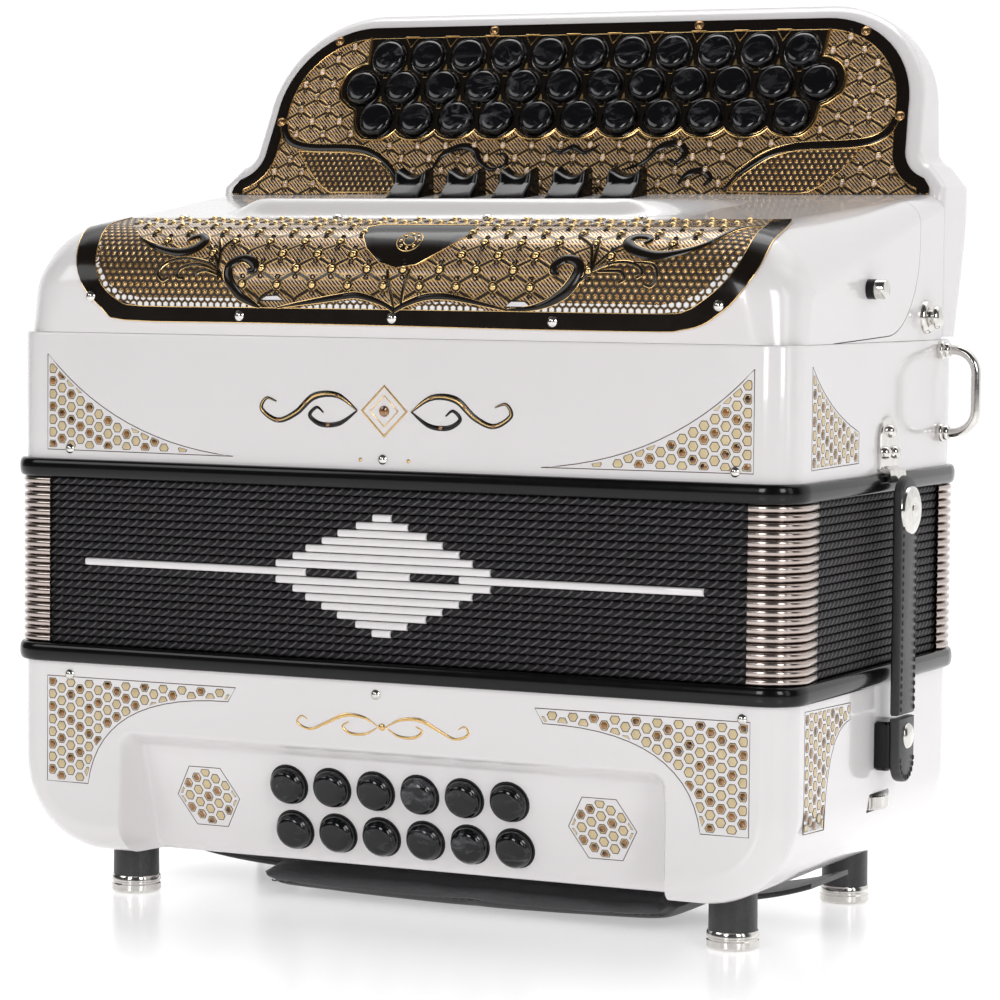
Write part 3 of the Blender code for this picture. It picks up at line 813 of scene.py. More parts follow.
def recess_depth(x, z):
    """Depth of the bass recess, with its rounded lip and fillet; 0 outside it."""
    a, b, corner = RECESS_HALF + 0.5 - abs(x), RECESS_TOP + 0.5 - z, 7.0
    if a < corner and b < corner:
        reach = corner - math.hypot(corner - a, corner - b)
    else:
        reach = min(a, b)
    t = min(max(reach / 6.5, 0.0), 1.0)
    share = t * t * (3 - 2 * t)
    floor = recess_y(z) - FRONT + rounding(z - FOOT_H + 0.4, 6.0)
    return (floor + 0.02) * share - 0.02


def recess_cutter():
    fine = [0.6 * i for i in range(14)]
    side = [RECESS_HALF + 1.0 - f for f in fine] + [RECESS_HALF - 8 - 13 * i for i in range(1, 9)]
    xs = sorted([-x for x in side] + side + [0.0])
    zs = sorted([RECESS_TOP + 1.0 - f for f in fine] + [58, 54, 50, 46, 42, 38, 34, 30, 27, 25, 23.5, 22, 21, 20.4, 19.8, 19, 16])
    shape = Shape()
    back = [[(x, FRONT + recess_depth(x, max(z, 19.6)), z) for x in xs] for z in zs]
    front = [[(x, FRONT - 14.0, z) for x in xs] for z in zs]
    wide, high = len(xs), len(zs)
    points = [p for row in back for p in row] + [p for row in front for p in row]
    faces = []
    for j in range(high - 1):
        for i in range(wide - 1):
            a = j * wide + i
            faces.append((a, a + 1, a + wide + 1, a + wide))
            b = a + wide * high
            faces.append((b, b + wide, b + wide + 1, b + 1))
    rim = [i for i in range(wide)]
    rim += [j * wide + wide - 1 for j in range(1, high)]
    rim += [(high - 1) * wide + i for i in range(wide - 2, -1, -1)]
    rim += [j * wide for j in range(high - 2, 0, -1)]
    for a, b in zip(rim, rim[1:] + rim[:1]):
        faces.append((b, a, a + wide * high, b + wide * high))
    shape.add(points, faces)
    return shape.piece("recess_cutter", WHITE)


def bass_button_places():
    for row, z in enumerate((51.3, 33.0)):
        for column in range(6):
            x = (column - 2.5) * PITCH
            yield f"bass_button_{row + 1}_{column + 1}", Vector((x, recess_y(z), z))


def make_bass_casing():
    shape = Shape()
    shape.loft(front_rings(bass_outline, lambda z: FRONT, lambda z: REAR, CASE_R, 10, REAR_R))
    casing = shape.piece("bass_shell", WHITE, fix=True)
    holes = Shape()
    for _, spot in bass_button_places():
        holes.turn([(8.3, 4.0), (8.3, -14.0)], spot, BASS_OUT, 0, 28)
    holes.turn([(6.9, 4.0), (6.9, -12.0)], (110.0, REAR, 45.0), (0, 1, 0), 0, 28)
    holes.box((152.0, -14.3, 46.4), (170.0, 7.3, 53.6), 0.8)
    carve(casing, [recess_cutter(), holes.piece("hole_cutter", WHITE)])
    settle(casing)
    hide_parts("bass_casing")
    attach(casing, "bass_side")

    # Felt cups in the button holes, closed at the bottom: their near-black is painted shade for the insides of the
    # holes, seen in the gaps round the caps
    lining = Shape()
    for _, spot in bass_button_places():
        lining.turn([(8.3, -0.1), (8.25, -0.1), (8.15, -1.0), (8.15, -13.6), (0.5, -13.8)], spot, BASS_OUT, 0, 28, (False, True))
    lining.turn([(6.85, -0.1), (6.75, -0.5), (6.75, -11.6), (0.5, -11.8)], (110.0, REAR, 45.0), (0, 1, 0), 0, 28, (False, True))
    lining.piece("bass_hole_shade_linings", FELT_SHADE, "bass_side", slot="black_leather")


def make_bead(name, low, high, body):
    shape = Shape()
    rings = []
    middle, half = (low + high) / 2, (high - low) / 2
    for i in range(13):
        t = math.radians(-90 + 15 * i)
        grow = BEAD - 2.6 + 2.6 * (max(math.cos(t), 0.0) ** 0.45)
        rings.append(case_ring(HALF + grow, FRONT - grow, REAR + grow, CASE_R + grow, middle + half * math.sin(t)))
    shape.loft(rings)
    shape.piece(name, BLACK, body, slot="black_celluloid", fix=True)


def make_feet():
    names = {(-1, -1): "left_front", (1, -1): "right_front", (-1, 1): "left_rear", (1, 1): "right_rear"}
    for (side, deep), name in names.items():
        y = FRONT + 34.6 if deep < 0 else REAR - 34.6
        spot = (side * 130.0, y, 0.0)
        shape = Shape()
        shape.turn(
            [(3.0, 6.4), (8.9, 6.4), (9.1, 6.6), (9.2, 7.6), (9.1, 20.6), (9.9, 21.6), (9.9, 24.0), (2.0, 24.0)][::-1],
            spot, (0, 0, 1), 0, 40,
        )
        shape.turn(
            [(0.5, 7.2), (8.8, 7.2), (9.5, 6.9), (9.9, 6.1), (9.9, 4.7), (9.5, 4.2), (9.5, 3.7), (9.9, 3.2),
             (9.9, 1.0), (9.4, 0.25), (8.6, 0.0), (0.5, 0.0)],
            spot, (0, 0, 1), 1, 48,
        )
        shape.piece(f"foot_{name}", [LEATHER, NICKEL], "bass_side", 30, slot="nickel", fix=True)


def make_buttons():
    """Caps of both button fields, each on the body of its own CAD node."""
    bass = [(0.4, 4.0), (5.2, 4.0), (5.55, 3.9), (5.8, 3.75), (6.1, 4.55), (6.9, 4.6), (7.25, 4.35), (7.4, 3.7),
            (7.4, 1.5), (7.15, 1.2), (7.15, 0.7), (7.4, 0.4), (7.4, -1.5), (3.0, -1.6), (3.0, -7.4), (0.4, -7.5)]
    bass = [(0.4, 4.55), (4.6, 4.6), (5.5, 4.5), (5.9, 4.1), (6.25, 3.95), (6.5, 3.3), (6.9, 2.9), (7.25, 2.5),
            (7.4, 2.0), (7.4, -1.5), (3.0, -1.6), (3.0, -7.4), (0.4, -7.5)]
    for name, spot in bass_button_places():
        shape = Shape()
        shape.turn(bass, spot, BASS_OUT, 0, 40)
        shape.piece(name + "_cap", PEARL, name, 50, "dark_pearl", [name], fix=True)
    treble = [(0.4, 3.4), (2.5, 3.38), (4.4, 3.3), (5.6, 3.15), (6.5, 2.8), (7.1, 2.25), (7.45, 1.5), (7.6, 0.6),
              (7.6, -1.0), (3.0, -1.1), (3.0, -5.4), (0.4, -5.5)]
    for row, (count, w) in enumerate(TREBLE_ROWS):
        for i in range(count):
            name = f"treble_button_{row + 1}_{i + 1:02d}"
            x = (i - (count - 1) / 2) * PITCH
            shape = Shape()
            shape.turn(treble, on_plate(x, w), PLATE_OUT, 0, 36)
            shape.piece(name + "_cap", PEARL, name, 50, "dark_pearl", [name], fix=True)
    shape = Shape()
    shape.turn([(0.4, 6.2), (3.6, 6.3), (5.2, 6.2), (5.8, 5.7), (6.0, 5.0), (6.0, -1.5), (3.0, -1.5), (3.0, -6.3),
                (0.4, -6.4)], (110.0, REAR, 45.0), (0, 1, 0), 0, 36)
    shape.piece("air_button_cap", BLACK, "air_button", 50, "black_celluloid", ["air_button"], fix=True)


def make_wheel():
    """The knurled thumb wheel that takes up the hand strap."""
    shape = Shape()
    spot = Vector((157.0, FRONT + 94.0, 50.0))
    rings = []
    for z, radius in ((-2.8, 10.2), (-2.1, 10.9), (2.1, 10.9), (2.8, 10.2)):
        ring = []
        for i in range(144):
            t = 2 * math.pi * i / 144
            tooth = 0.0 if abs(z) > 2.5 else (0.1 if i % 3 else -0.35)
            ring.append((spot.x + (radius + tooth) * math.cos(t), spot.y + (radius + tooth) * math.sin(t), spot.z + z))
        rings.append(ring)
    shape.loft(rings)
    shape.turn([(0.4, 8.0), (1.6, 8.0), (2.0, 7.6), (2.0, 2.6)], spot, (0, 0, 1), 0, 20)
    shape.turn([(2.0, -2.6), (2.0, -3.6), (1.7, -3.8), (0.4, -3.8)], spot, (0, 0, 1), 0, 20)
    shape.piece("thumb_wheel", NICKEL, "strap_adjuster_wheel", 25, "nickel", ["strap_adjuster_wheel"], fix=True)


PAD_Y = -10.0
PAD_HALF = 35.5


def strap_middle(x):
    return 8.0 + 10.5 * (abs(x) / 146.0) ** 5


def make_hand_strap():
    """A soft pad with sewn edges, between two thin straps that run to the casing."""
    shape = Shape()
    rings = []
    steps = 40
    for i in range(steps + 1):
        x = -84.0 + 180.0 * i / steps
        near = min(x + 84.0, 96.0 - x)
        full = math.sqrt(min(1.0, max(near, 0.0) / 5.0 + 0.06))
        ring = []
        for k in range(36):
            t = 2 * math.pi * k / 36
            c, s = math.cos(t), math.sin(t)
            y = PAD_Y + PAD_HALF * math.copysign(abs(c) ** 0.55, c) * (0.94 + 0.06 * full)
            crown = (4.4 if s > 0 else 6.6) * math.copysign(abs(s) ** 0.75, s) * full
            seam = 1 - 0.45 * math.exp(-((abs(y - PAD_Y) - PAD_HALF + 5.0) / 1.1) ** 2)
            ring.append((x, y, strap_middle(x) + crown * seam))
        rings.append(ring)
    shape.loft(rings)
    pad = shape.piece("hand_strap_pad", PAD, None, 60, "black_leather", ["hand_strap"], fix=True)
    inflate(pad)
    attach(pad, "bass_side")

    straps = Shape()
    for side in (-1, 1):
        rings = []
        inner = 80.0 if side < 0 else 92.0
        for i in range(19):
            x = inner + (146.0 - inner) * i / 18
            z = strap_middle(x)
            rings.append([
                (side * x, y, z + high)
                for y, high in ((-24.0, -1.0), (-24.6, -0.4), (-24.6, 0.4), (-24.0, 1.0), (14.0, 1.0), (14.6, 0.4),
                                (14.6, -0.4), (14.0, -1.0))
            ])
        straps.loft(rings)
    straps.piece("hand_strap_ends", LEATHER, "bass_side", 40, "black_leather", fix=True)

    thread = Shape()
    for y in (PAD_Y - PAD_HALF + 5.0, PAD_Y + PAD_HALF - 5.0):
        x = -80.0
        while x < 91.0:
            z = strap_middle(x) - 3.6
            thread.tube([(x, y, z + 0.25), (x + 0.4, y, z - 0.25), (x + 2.0, y, z - 0.25), (x + 2.4, y, z + 0.25)], 0.28, 0, 6)
            x += 3.4
    thread.piece("hand_strap_stitches", THREAD, "bass_side", 60, "black_leather")


def inflate(pad):
    """Swells the pad with cloth simulation, then keeps every point near where it began."""
    scene = bpy.context.scene
    rest = pad.data.copy()
    remesh = pad.modifiers.new("voxels", "REMESH")
    remesh.mode = "VOXEL"
    remesh.voxel_size = 0.004
    bpy.context.view_layer.update()
    graph = bpy.context.evaluated_depsgraph_get()
    pad.data = bpy.data.meshes.new_from_object(pad.evaluated_get(graph))
    pad.modifiers.clear()
    start = np.array([v.co for v in pad.data.vertices])
    cloth = pad.modifiers.new("swell", "CLOTH")
    cloth.settings.use_pressure = True
    cloth.settings.uniform_pressure_force = 1.2
    cloth.settings.effector_weights.gravity = 0.0
    cloth.settings.quality = 5
    for frame_number in range(1, 16):
        scene.frame_set(frame_number)
    graph = bpy.context.evaluated_depsgraph_get()
    swollen = bpy.data.meshes.new_from_object(pad.evaluated_get(graph))
    ends = np.array([v.co for v in swollen.vertices])
    pad.modifiers.clear()
    scene.frame_set(1)
    move = ends - start
    length = np.linalg.norm(move, axis=1, keepdims=True)
    most = 0.0022
    move *= np.minimum(1.0, most / np.maximum(length, 1e-9))
    final = start + move
    final[:, 2] = np.maximum(final[:, 2], 0.0006)
    final[:, 2] = np.minimum(final[:, 2], 0.0192)
    for vertex, co in zip(pad.data.vertices, final):
        vertex.co = co
    smooth = pad.modifiers.new("smooth", "SUBSURF")
    smooth.levels = smooth.render_levels = 1
    bpy.context.view_layer.update()
    graph = bpy.context.evaluated_depsgraph_get()
    made = bpy.data.meshes.new_from_object(pad.evaluated_get(graph))
    pad.modifiers.clear()
    for vertex in made.vertices:
        across = abs(vertex.co.y * 1000 - PAD_Y)
        middle = strap_middle(vertex.co.x * 1000) * MM
        pinch = 0.4 * math.exp(-((across - PAD_HALF + 5.0) / 1.3) ** 2)
        vertex.co.z = middle + (vertex.co.z - middle) * (1 - pinch)
    pad.data = made
    made.materials.clear()
    made.materials.append(PAD)
    made.shade_smooth()
    bpy.data.meshes.remove(rest)


# ---------------------------------------------------------------- bellows


def fold_profile(lift=0.0):
    """One fold's outer edge: (inset, share of the fold's height)."""
    edge = ((4.2, 0.0), (1.2, 0.05), (0.42, 0.12), (0.08, 0.26), (0.0, 0.5), (0.08, 0.74), (0.42, 0.88), (1.2, 0.95))
    return tuple((inset - lift, share) for inset, share in edge)


def bellows_ring(inset, z, steps=6):
    half_x, half_y = HALF - 0.6 - inset, (REAR - FRONT) / 2 - 0.6 - inset
    return case_ring(half_x, MIDDLE - half_y, MIDDLE + half_y, max(CASE_R - inset, 4.0), z, steps)


def fold_z(fold, share):
    step = (BELLOWS_HIGH - BELLOWS_LOW) / FOLDS
    return BELLOWS_LOW + step * (fold + share)


def bend(piece):
    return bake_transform(piece)


TAPE_X = -1.0
TAPE_PROFILE = ((1.6, 0.04), (0.1, 0.06), (-0.45, 0.14), (-0.6, 0.3), (-0.65, 0.5), (-0.6, 0.7), (-0.45, 0.86), (0.1, 0.94),
                (1.6, 0.96), (2.6, 0.96), (2.6, 0.04))


def make_bellows():
    shape = Shape()
    rings = []
    for fold in range(FOLDS):
        rings += [bellows_ring(inset, fold_z(fold, share)) for inset, share in fold_profile()]
    rings.append(bellows_ring(4.2, BELLOWS_HIGH))
    rings.append(bellows_ring(16.0, BELLOWS_HIGH))
    rings.append(bellows_ring(16.0, BELLOWS_LOW))
    rings.append(rings[0])
    shape.loft(rings, caps=(False, False))
    bellows = shape.piece("bellows_folds", CLOTH, None, 60, "bellows_cloth", ["bellows"], fix=True)
    bend(bellows)

    corners = Shape()
    for sx in (-1, 1):
        for sy in (-1, 1):
            for fold in range(FOLDS):
                rows = []
                for lift, share in ((-1.8, 0.03), (1.2, 0.06), (2.3, 0.14), (2.8, 0.3), (3.0, 0.5), (2.8, 0.7), (2.3, 0.86), (1.2, 0.94), (-1.8, 0.97)):
                    half_x = HALF - 0.6 + lift
                    half_y = (REAR - FRONT) / 2 - 0.6 + lift * 0.5
                    radius = (CASE_R if sy < 0 else REAR_R) + lift
                    centre = (sx * (half_x - radius), MIDDLE + sy * (half_y - radius))
                    row = [(sx * (148.5 if sy < 0 else 139.0), MIDDLE + sy * half_y)]
                    for k in range(9):
                        t = math.radians(90 - 90 * k / 8)
                        row.append((centre[0] + sx * radius * math.cos(t), centre[1] + sy * radius * math.sin(t)))
                    row.append((sx * (HALF - 0.6 + lift * 0.5), MIDDLE + sy * ((REAR - FRONT) / 2 - (25.0 if sy < 0 else 31.0))))
                    rows.append([(x, y, fold_z(fold, share)) for x, y in row])
                corners.loft(rows + [rows[0]], closed=False, caps=(False, False))
    corners = corners.piece("bellows_corners", TINTED, None, 50, "nickel", fix=True)
    bend(corners)

    bars = Shape()
    widths = (8.1, 22.2, 38.0, 51.6, 65.7, 76.8, 91.7)
    for offset in range(-7, 8):
        half = widths[7 - abs(offset)] / 2 if offset else 0.0
        pieces = [(TAPE_X - half, TAPE_X + half)] if offset else [(-132.8, -33.7), (-11.6, 11.0), (31.7, 131.0)]
        for low, high in pieces:
            rows = []
            for inset, share in TAPE_PROFILE:
                y = FRONT + 0.6 + inset
                z = fold_z(FOLDS // 2 + offset, share)
                rows.append([(low, y + 0.7, z), (low + 0.25, y + 0.1, z), (low + 1.0, y - 0.1, z),
                             (high - 1.0, y - 0.1, z), (high - 0.25, y + 0.1, z), (high, y + 0.7, z)])
            bars.loft(list(zip(*rows)), closed=True)
    bars = bars.piece("bellows_tape", WHITE, None, 50, "white_celluloid", fix=True)
    bend(bars)




# ---------------------------------------------------------------- treble side


def joint_points(shift):
    centre = (COVER_REAR - 36.0, 263.0)
    points = [(FRONT + 40.0, TREBLE_TOP)] + arc(centre, 36.0, -90, 0, 14)
    return [(y + shift * 0.8, z - shift) for y, z in points[:-1]] + [(points[-1][0] + shift, points[-1][1])]


def side_prism(name, outline, half):
    shape = Shape()
    shape.loft([[(x, y, z) for y, z in outline] for x in (-half, half)])
    return shape.piece(name, WHITE)


def upper_form(name):
    """The cover and the deck as one form, before the joint between them is cut."""
    stops = list(np.linspace(COVER_FOOT, 0.0, 5)) + list(np.linspace(0, NOSE_ARC, 19))[1:]
    stops += list(np.linspace(NOSE_ARC, DECK_END, 12))[1:]
    rows = []
    for s in stops:
        width = lerp(END_WIDTH, s)
        row = []
        for k in range(15):
            t = math.radians(90 - 90 * k / 14)
            row.append(-(UPPER_HALF - width + width * math.sin(t)))
        row = row + [-x for x in row[::-1]]
        rows.append([on_cover(x, s, 0.0) for x in row])
    shape = Shape()
    shape.loft(rows, closed=False, caps=(False, False))
    count, last = len(rows[0]), (len(rows) - 1) * len(rows[0])
    rear = FRONT + 158.0
    low = shape.add([(-UPPER_HALF, rear, TREBLE_TOP + 0.03), (UPPER_HALF, rear, TREBLE_TOP + 0.03)], [])
    left = [r * count for r in range(len(rows))]
    right = [r * count + count - 1 for r in range(len(rows))]
    shape.faces += [
        tuple(left + [low]), tuple(right + [low + 1]),
        tuple(list(range(count)) + [low + 1, low]),
        tuple(list(range(last, last + count)) + [low + 1, low]),
    ]
    shape.slots += [0] * 4
    return shape.piece(name, WHITE, fix=True)


def board_half(grow, steps=16):
    """Right half of the fingerboard's outline as (x, w), always with the same number of points."""
    half = 158.5 + grow
    flare = arc((159.5, 22.5), 13.8 - grow, 250, 180, 8)
    return flare, arc((103.5, 39.5), 40.7 + grow, 0, 90, steps), half


def board_outline(grow, foot=0.0):
    flare, corner, half = board_half(grow)
    right = [(half, foot), (half, max(foot + 0.5, 5.5 + grow / 2))]
    right += [point for point in flare if point[1] > right[-1][1] + 0.5] + corner
    return right + [(-x, w) for x, w in reversed(right)]


def body_outline(inset):
    """The fingerboard body seen from the front, right half up and left half down."""
    flare, corner, _ = board_half(RIM - inset)
    half = UPPER_HALF - inset
    sine = math.sin(PLATE_TILT)
    right = [(half, 226.0), (half, 250.0), (half, 272.0), (half, PLATE_FOOT.z + 5.0)]
    right += [(min(x, half), PLATE_FOOT.z + w * sine) for x, w in flare + corner]
    return right + [(-x, z) for x, z in reversed(right)]


def body_front(z):
    if z < PLATE_FOOT.z:
        return PLATE_FOOT.y + 0.5
    return PLATE_FOOT.y + 0.5 + (z - PLATE_FOOT.z) / math.tan(PLATE_TILT)


def body_back(z):
    return lerp(((226, REAR), (234, REAR), (240, REAR + 1), (252, BACK - 4), (264, BACK), (400, BACK)), z)


def body_round(z):
    """Radius of the body's rear edges, which grows from the thin top to the deep foot."""
    return lerp(((226, 15.0), (285, 15.0), (312, 8.0), (335, 5.0), (400, 4.6)), z)


def fingerboard_body():
    shape = Shape()
    rings = front_rings(body_outline, body_front, body_back, 4.2, 6)[:7]
    radii = [body_round(z) for _, z in body_outline(0.0)]
    for i in range(9):
        t = math.radians(90 - 90 * i / 8)
        ring = []
        for k, radius in enumerate(radii):
            x, z = body_outline(radius * (1 - math.sin(t)))[k]
            ring.append((x, body_back(z) - radius * (1 - math.cos(t)), z))
        rings.append(ring)
    shape.loft(rings, caps=(False, False))
    count = len(rings[0])
    for start in (0, (len(rings) - 1) * count):
        for i in range(count // 2 - 1):
            j = count - 1 - i
            shape.faces.append((start + i, start + i + 1, start + j - 1, start + j))
            shape.slots.append(0)
    return shape.piece("fingerboard_body", WHITE, fix=True)


TAB_SPAN = (-4.8, 10.0)


def register_places():
    for i in range(5):
        yield f"register_switch_{i + 1}", -19.2 + (i - 2) * 24.4


def make_treble():
    shape = Shape()
    rings = []
    for z, inset in ((TREBLE_LOW - 0.2, 0.0), (TREBLE_TOP - 0.9, 0.0), (TREBLE_TOP - 0.45, 0.12), (TREBLE_TOP - 0.12, 0.4), (TREBLE_TOP, 0.9)):
        rings.append(case_ring(HALF - inset, FRONT + inset, REAR - inset, CASE_R - inset, z, 10))
    shape.loft(rings)
    casing = shape.piece("treble_shell", WHITE, "treble_side", 32, "white_celluloid", ["treble_casing"], fix=True)

    rear = FRONT + 170.0
    cover = upper_form("grille_cover_form")
    behind = joint_points(-0.18) + [(COVER_REAR - 0.18, 305.0), (rear, 305.0), (rear, 222.0), (FRONT + 40.0, 222.0)]
    carve(cover, [side_prism("behind", behind, 190.0)])
    settle(cover, 30)
    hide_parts("grille_cover")
    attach(cover, "treble_side")

    deck = upper_form("fingerboard_deck")
    front = joint_points(0.18) + [(COVER_REAR + 0.18, 305.0), (FRONT - 20, 305.0), (FRONT - 20, 222.0), (FRONT + 40.0, 222.0)]
    carve(deck, [side_prism("before", front, 190.0)])
    carve(deck, [fingerboard_body()], "UNION")
    pocket = Shape()
    outline = board_outline(-7.0, 7.0)
    pocket.loft([[on_plate(x, w, h) for x, w in outline] for h in (-16.0, 5.0)])
    slots = Shape()
    for _, x in register_places():
        slots.box((x + TAB_SPAN[0] - 0.5, FRONT + 134.9, 270.0), (x + TAB_SPAN[1] + 0.5, FRONT + 152.1, 292.0), 0.3)
    carve(deck, [pocket.piece("pocket", WHITE), slots.piece("slots", WHITE)])
    settle(deck, 30)
    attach(deck, "treble_side")
    return casing


def make_registers():
    """Rocking tabs: a ramp at the front, and a hollow saddle behind a step."""
    profile = ((0.0, 279.9), (0.03, 280.7), (0.2, 282.9), (0.4, 285.5), (0.5, 286.7), (0.54, 290.6), (0.6, 291.6), (0.75, 292.3),
               (0.9, 293.0), (1.0, 293.4))
    low, high = TAB_SPAN
    for name, x in register_places():
        shape = Shape()
        front, rear = FRONT + 135.5, FRONT + 151.5
        rows = []
        for share, top in profile:
            y = front + (rear - front) * share
            base = min(275.6, top - 3.0)
            row = [(x + low, y, base), (x + low, y, top - 1.6), (x + low + 0.5, y, top - 0.5)]
            for i in range(11):
                across = -1 + i / 5
                hollow = 3.0 * (1 - across * across) if share > 0.52 else 0.25 * (1 - across * across)
                row.append((x + (low + high) / 2 + ((high - low) / 2 - 0.9) * across, y, top - hollow))
            row += [(x + high - 0.5, y, top - 0.5), (x + high, y, top - 1.6), (x + high, y, base)]
            rows.append(row)
        shape.loft(rows)
        shape.piece(name + "_tab", BLACK, name, 35, "black_celluloid", [name], fix=True)


# ---------------------------------------------------------------- hardware


def make_hardware():
    for side, name in ((1, "right"), (-1, "left")):
        loop = Shape()
        y = FRONT + 154.0
        low, high, bend_r = 188.6, 221.0, 9.0
        reach = side * (HALF + 15.3)
        path = [(side * 160.0, y, low), (side * 166.0, y, low)]
        centre = (reach - side * bend_r, low + bend_r)
        sweep = (270, 360) if side > 0 else (270, 180)
        path += [(a, y, b) for a, b in arc(centre, bend_r, *sweep, 10)]
        centre = (reach - side * bend_r, high - bend_r)
        sweep = (0, 90) if side > 0 else (180, 90)
        path += [(a, y, b) for a, b in arc(centre, bend_r, *sweep, 10)]
        path += [(side * 166.0, y, high), (side * 160.0, y, high)]
        loop.tube(path, 1.85, 0, 16)
        for z in (low, high):
            loop.turn([(1.2, 4.6), (2.5, 4.6), (2.9, 4.2), (2.9, 2.6), (3.3, 2.4), (3.6, 2.0), (3.6, 0.6), (3.3, 0.2), (3.3, -1.5)],
                      (side * HALF, y, z), (side, 0, 0), 0, 28)
        loop.piece(f"strap_loop_{name}", NICKEL, "treble_side", 45, "nickel", fix=True)

        button = Shape()
        spot = (side * UPPER_HALF, FRONT + 139.5, 234.0)
        button.turn([(3.0, 2.2), (5.2, 2.2), (6.2, 1.6), (6.6, 0.6), (6.6, -2.0)], spot, (side, 0, 0), 0, 36)
        button.turn([(0.4, 6.9), (1.2, 6.9), (2.8, 6.6), (4.0, 5.9), (4.5, 5.0), (4.5, 4.2), (3.6, 3.6), (3.0, 3.2), (3.0, 1.5)],
                    spot, (side, 0, 0), 0, 36)
        button.piece(f"strap_button_{name}", NICKEL, "treble_side", 40, "nickel", fix=True)

    knob = Shape()
    spot = (UPPER_HALF, FRONT + 76.0, 245.0)
    knob.turn([(2.0, 3.4), (3.5, 3.4), (3.8, 3.0), (3.8, -1.0)], spot, (1, 0, 0), 0, 32)
    knob.turn([(0.4, 7.4), (3.0, 7.4), (3.6, 7.1), (3.75, 6.6), (3.75, 3.3)], spot, (1, 0, 0), 1, 32)
    knob.piece("cover_knob", [BLACK, NICKEL], "treble_side", 35, "nickel", fix=True)

    strap_y = FRONT + 95.7
    hook = Shape()
    outline = [(strap_y - 9.3, 177.0), (strap_y + 9.3, 177.0), (strap_y + 9.6, 183.0)] + arc((strap_y, 187.2), 9.6, 0, 180, 16)[1:-1] + [(strap_y - 9.6, 183.0)]
    rings = []
    for x, inset in ((HALF - 0.5, 0.0), (HALF + 1.1, 0.0), (HALF + 1.5, 0.4)):
        rings.append([(x, strap_y + (y - strap_y) * (1 - inset / 10), 186.5 + (z - 186.5) * (1 - inset / 10)) for y, z in outline])
    hook.loft(rings)
    rows = []
    for x, z in ((166.3, 178.2), (167.2, 177.4), (168.6, 176.9), (169.9, 176.2), (170.2, 174.6), (170.0, 172.0), (169.4, 171.6),
                 (168.9, 172.2), (168.9, 174.2), (168.2, 175.3), (166.6, 175.7), (165.4, 176.4), (165.2, 178.2)):
        rows.append([(x, strap_y - 8.4, z), (x, strap_y + 8.4, z)])
    hook.loft([[row[0] for row in rows], [row[1] for row in rows]])
    for y, z in ((strap_y, 191.2), (strap_y - 5.0, 183.2), (strap_y + 5.0, 183.0)):
        hook.turn([(0.3, 2.3), (1.4, 2.1), (2.3, 1.3), (2.6, 0.2), (2.6, -0.6)], (HALF + 1.5, y, z), (1, 0, 0), 0, 20)
    hook.piece("hook_plate", NICKEL, "treble_side", 35, "nickel", fix=True)
    make_strap(strap_y)


def strap_rings(outline, middle, x0, x1):
    """A leather strap with rounded, slightly raised edges."""
    rings = []
    for x, inset in ((x0, 0.7), (x0 + 0.7, 0.0), (x1 - 1.1, 0.0), (x1 - 0.3, 0.5), (x1, 1.3)):
        rings.append([
            (x, middle[0] + (y - middle[0]) * (1 - inset / 8.7), middle[1] + (z - middle[1]) * (1 - inset / 40))
            for y, z in outline
        ])
    return rings


def make_strap(strap_y):
    radius = 8.7
    flap_z = (83.7, 174.6)
    outline = arc((strap_y, flap_z[1] - radius), radius, 180, 0, 16)
    outline = outline[::-1] + [(strap_y - radius, flap_z[0]), (strap_y + radius, flap_z[0])]
    flap = Shape()
    flap.loft(strap_rings(outline, (strap_y, 129.0), 171.2, 175.2))
    flap.turn([(0.4, 1.6), (5.0, 1.9), (7.6, 1.7), (9.0, 1.0), (9.4, 0.1), (9.4, -0.6)], (175.2, strap_y, 161.5), (1, 0, 0), 1, 40)
    flap.turn([(0.4, 2.7), (1.6, 2.6), (2.6, 2.1), (3.0, 1.2)], (175.2, strap_y, 161.5), (1, 0, 0), 1, 28)
    stitches(flap, [(strap_y - 6.9, z) for z in np.arange(86.0, 156.0, 3.0)], 175.25, 2)
    stitches(flap, [(strap_y + 6.9, z) for z in np.arange(86.0, 156.0, 3.0)], 175.25, 2)
    flap.piece("bellows_strap_flap", [LEATHER, NICKEL, THREAD], "bellows_strap", 35, "black_leather", ["bellows_strap"], fix=True)

    tail = Shape()
    outline = [(strap_y + radius, 82.6)] + arc((strap_y, 57.8 + radius), radius, 0, -180, 16) + [(strap_y - radius, 82.6)]
    tail.loft(strap_rings(outline, (strap_y, 72.0), 171.2, 175.2))
    tail.turn([(0.4, 1.9), (2.6, 1.8), (4.2, 1.3), (4.9, 0.4), (4.9, -0.6)], (175.2, strap_y, 75.5), (1, 0, 0), 1, 32)
    tail.box((HALF - 0.6, strap_y - 8.6, 62.5), (171.6, strap_y + 8.6, 81.2), 1.0, 3)
    stitches(tail, [(strap_y + 6.9 * math.cos(math.radians(t)), 66.5 + 6.9 * math.sin(math.radians(t))) for t in range(0, -181, -20)], 175.25, 2)
    tail.piece("bellows_strap_tail", [LEATHER, NICKEL, THREAD, BLACK], "bass_side", 35, "black_leather", fix=True)


def stitches(shape, spots, x, slot):
    for y, z in spots:
        shape.tube([(x - 0.3, y, z - 0.9), (x + 0.15, y, z - 0.6), (x + 0.15, y, z + 0.6), (x - 0.3, y, z + 0.9)], 0.3, slot, 6)


# ---------------------------------------------------------------- ornaments


TREBLE_HOLES = [
    ((i - (count - 1) / 2) * PITCH, w) for count, w in TREBLE_ROWS for i in range(count)
]


def circle(centre, radius, steps=28):
    return [
        (centre[0] + radius * math.cos(2 * math.pi * i / steps), centre[1] + radius * math.sin(2 * math.pi * i / steps))
        for i in range(steps)
    ]


def mirrored(points, about=0.0):
    return [(2 * about - x, w) for x, w in points]


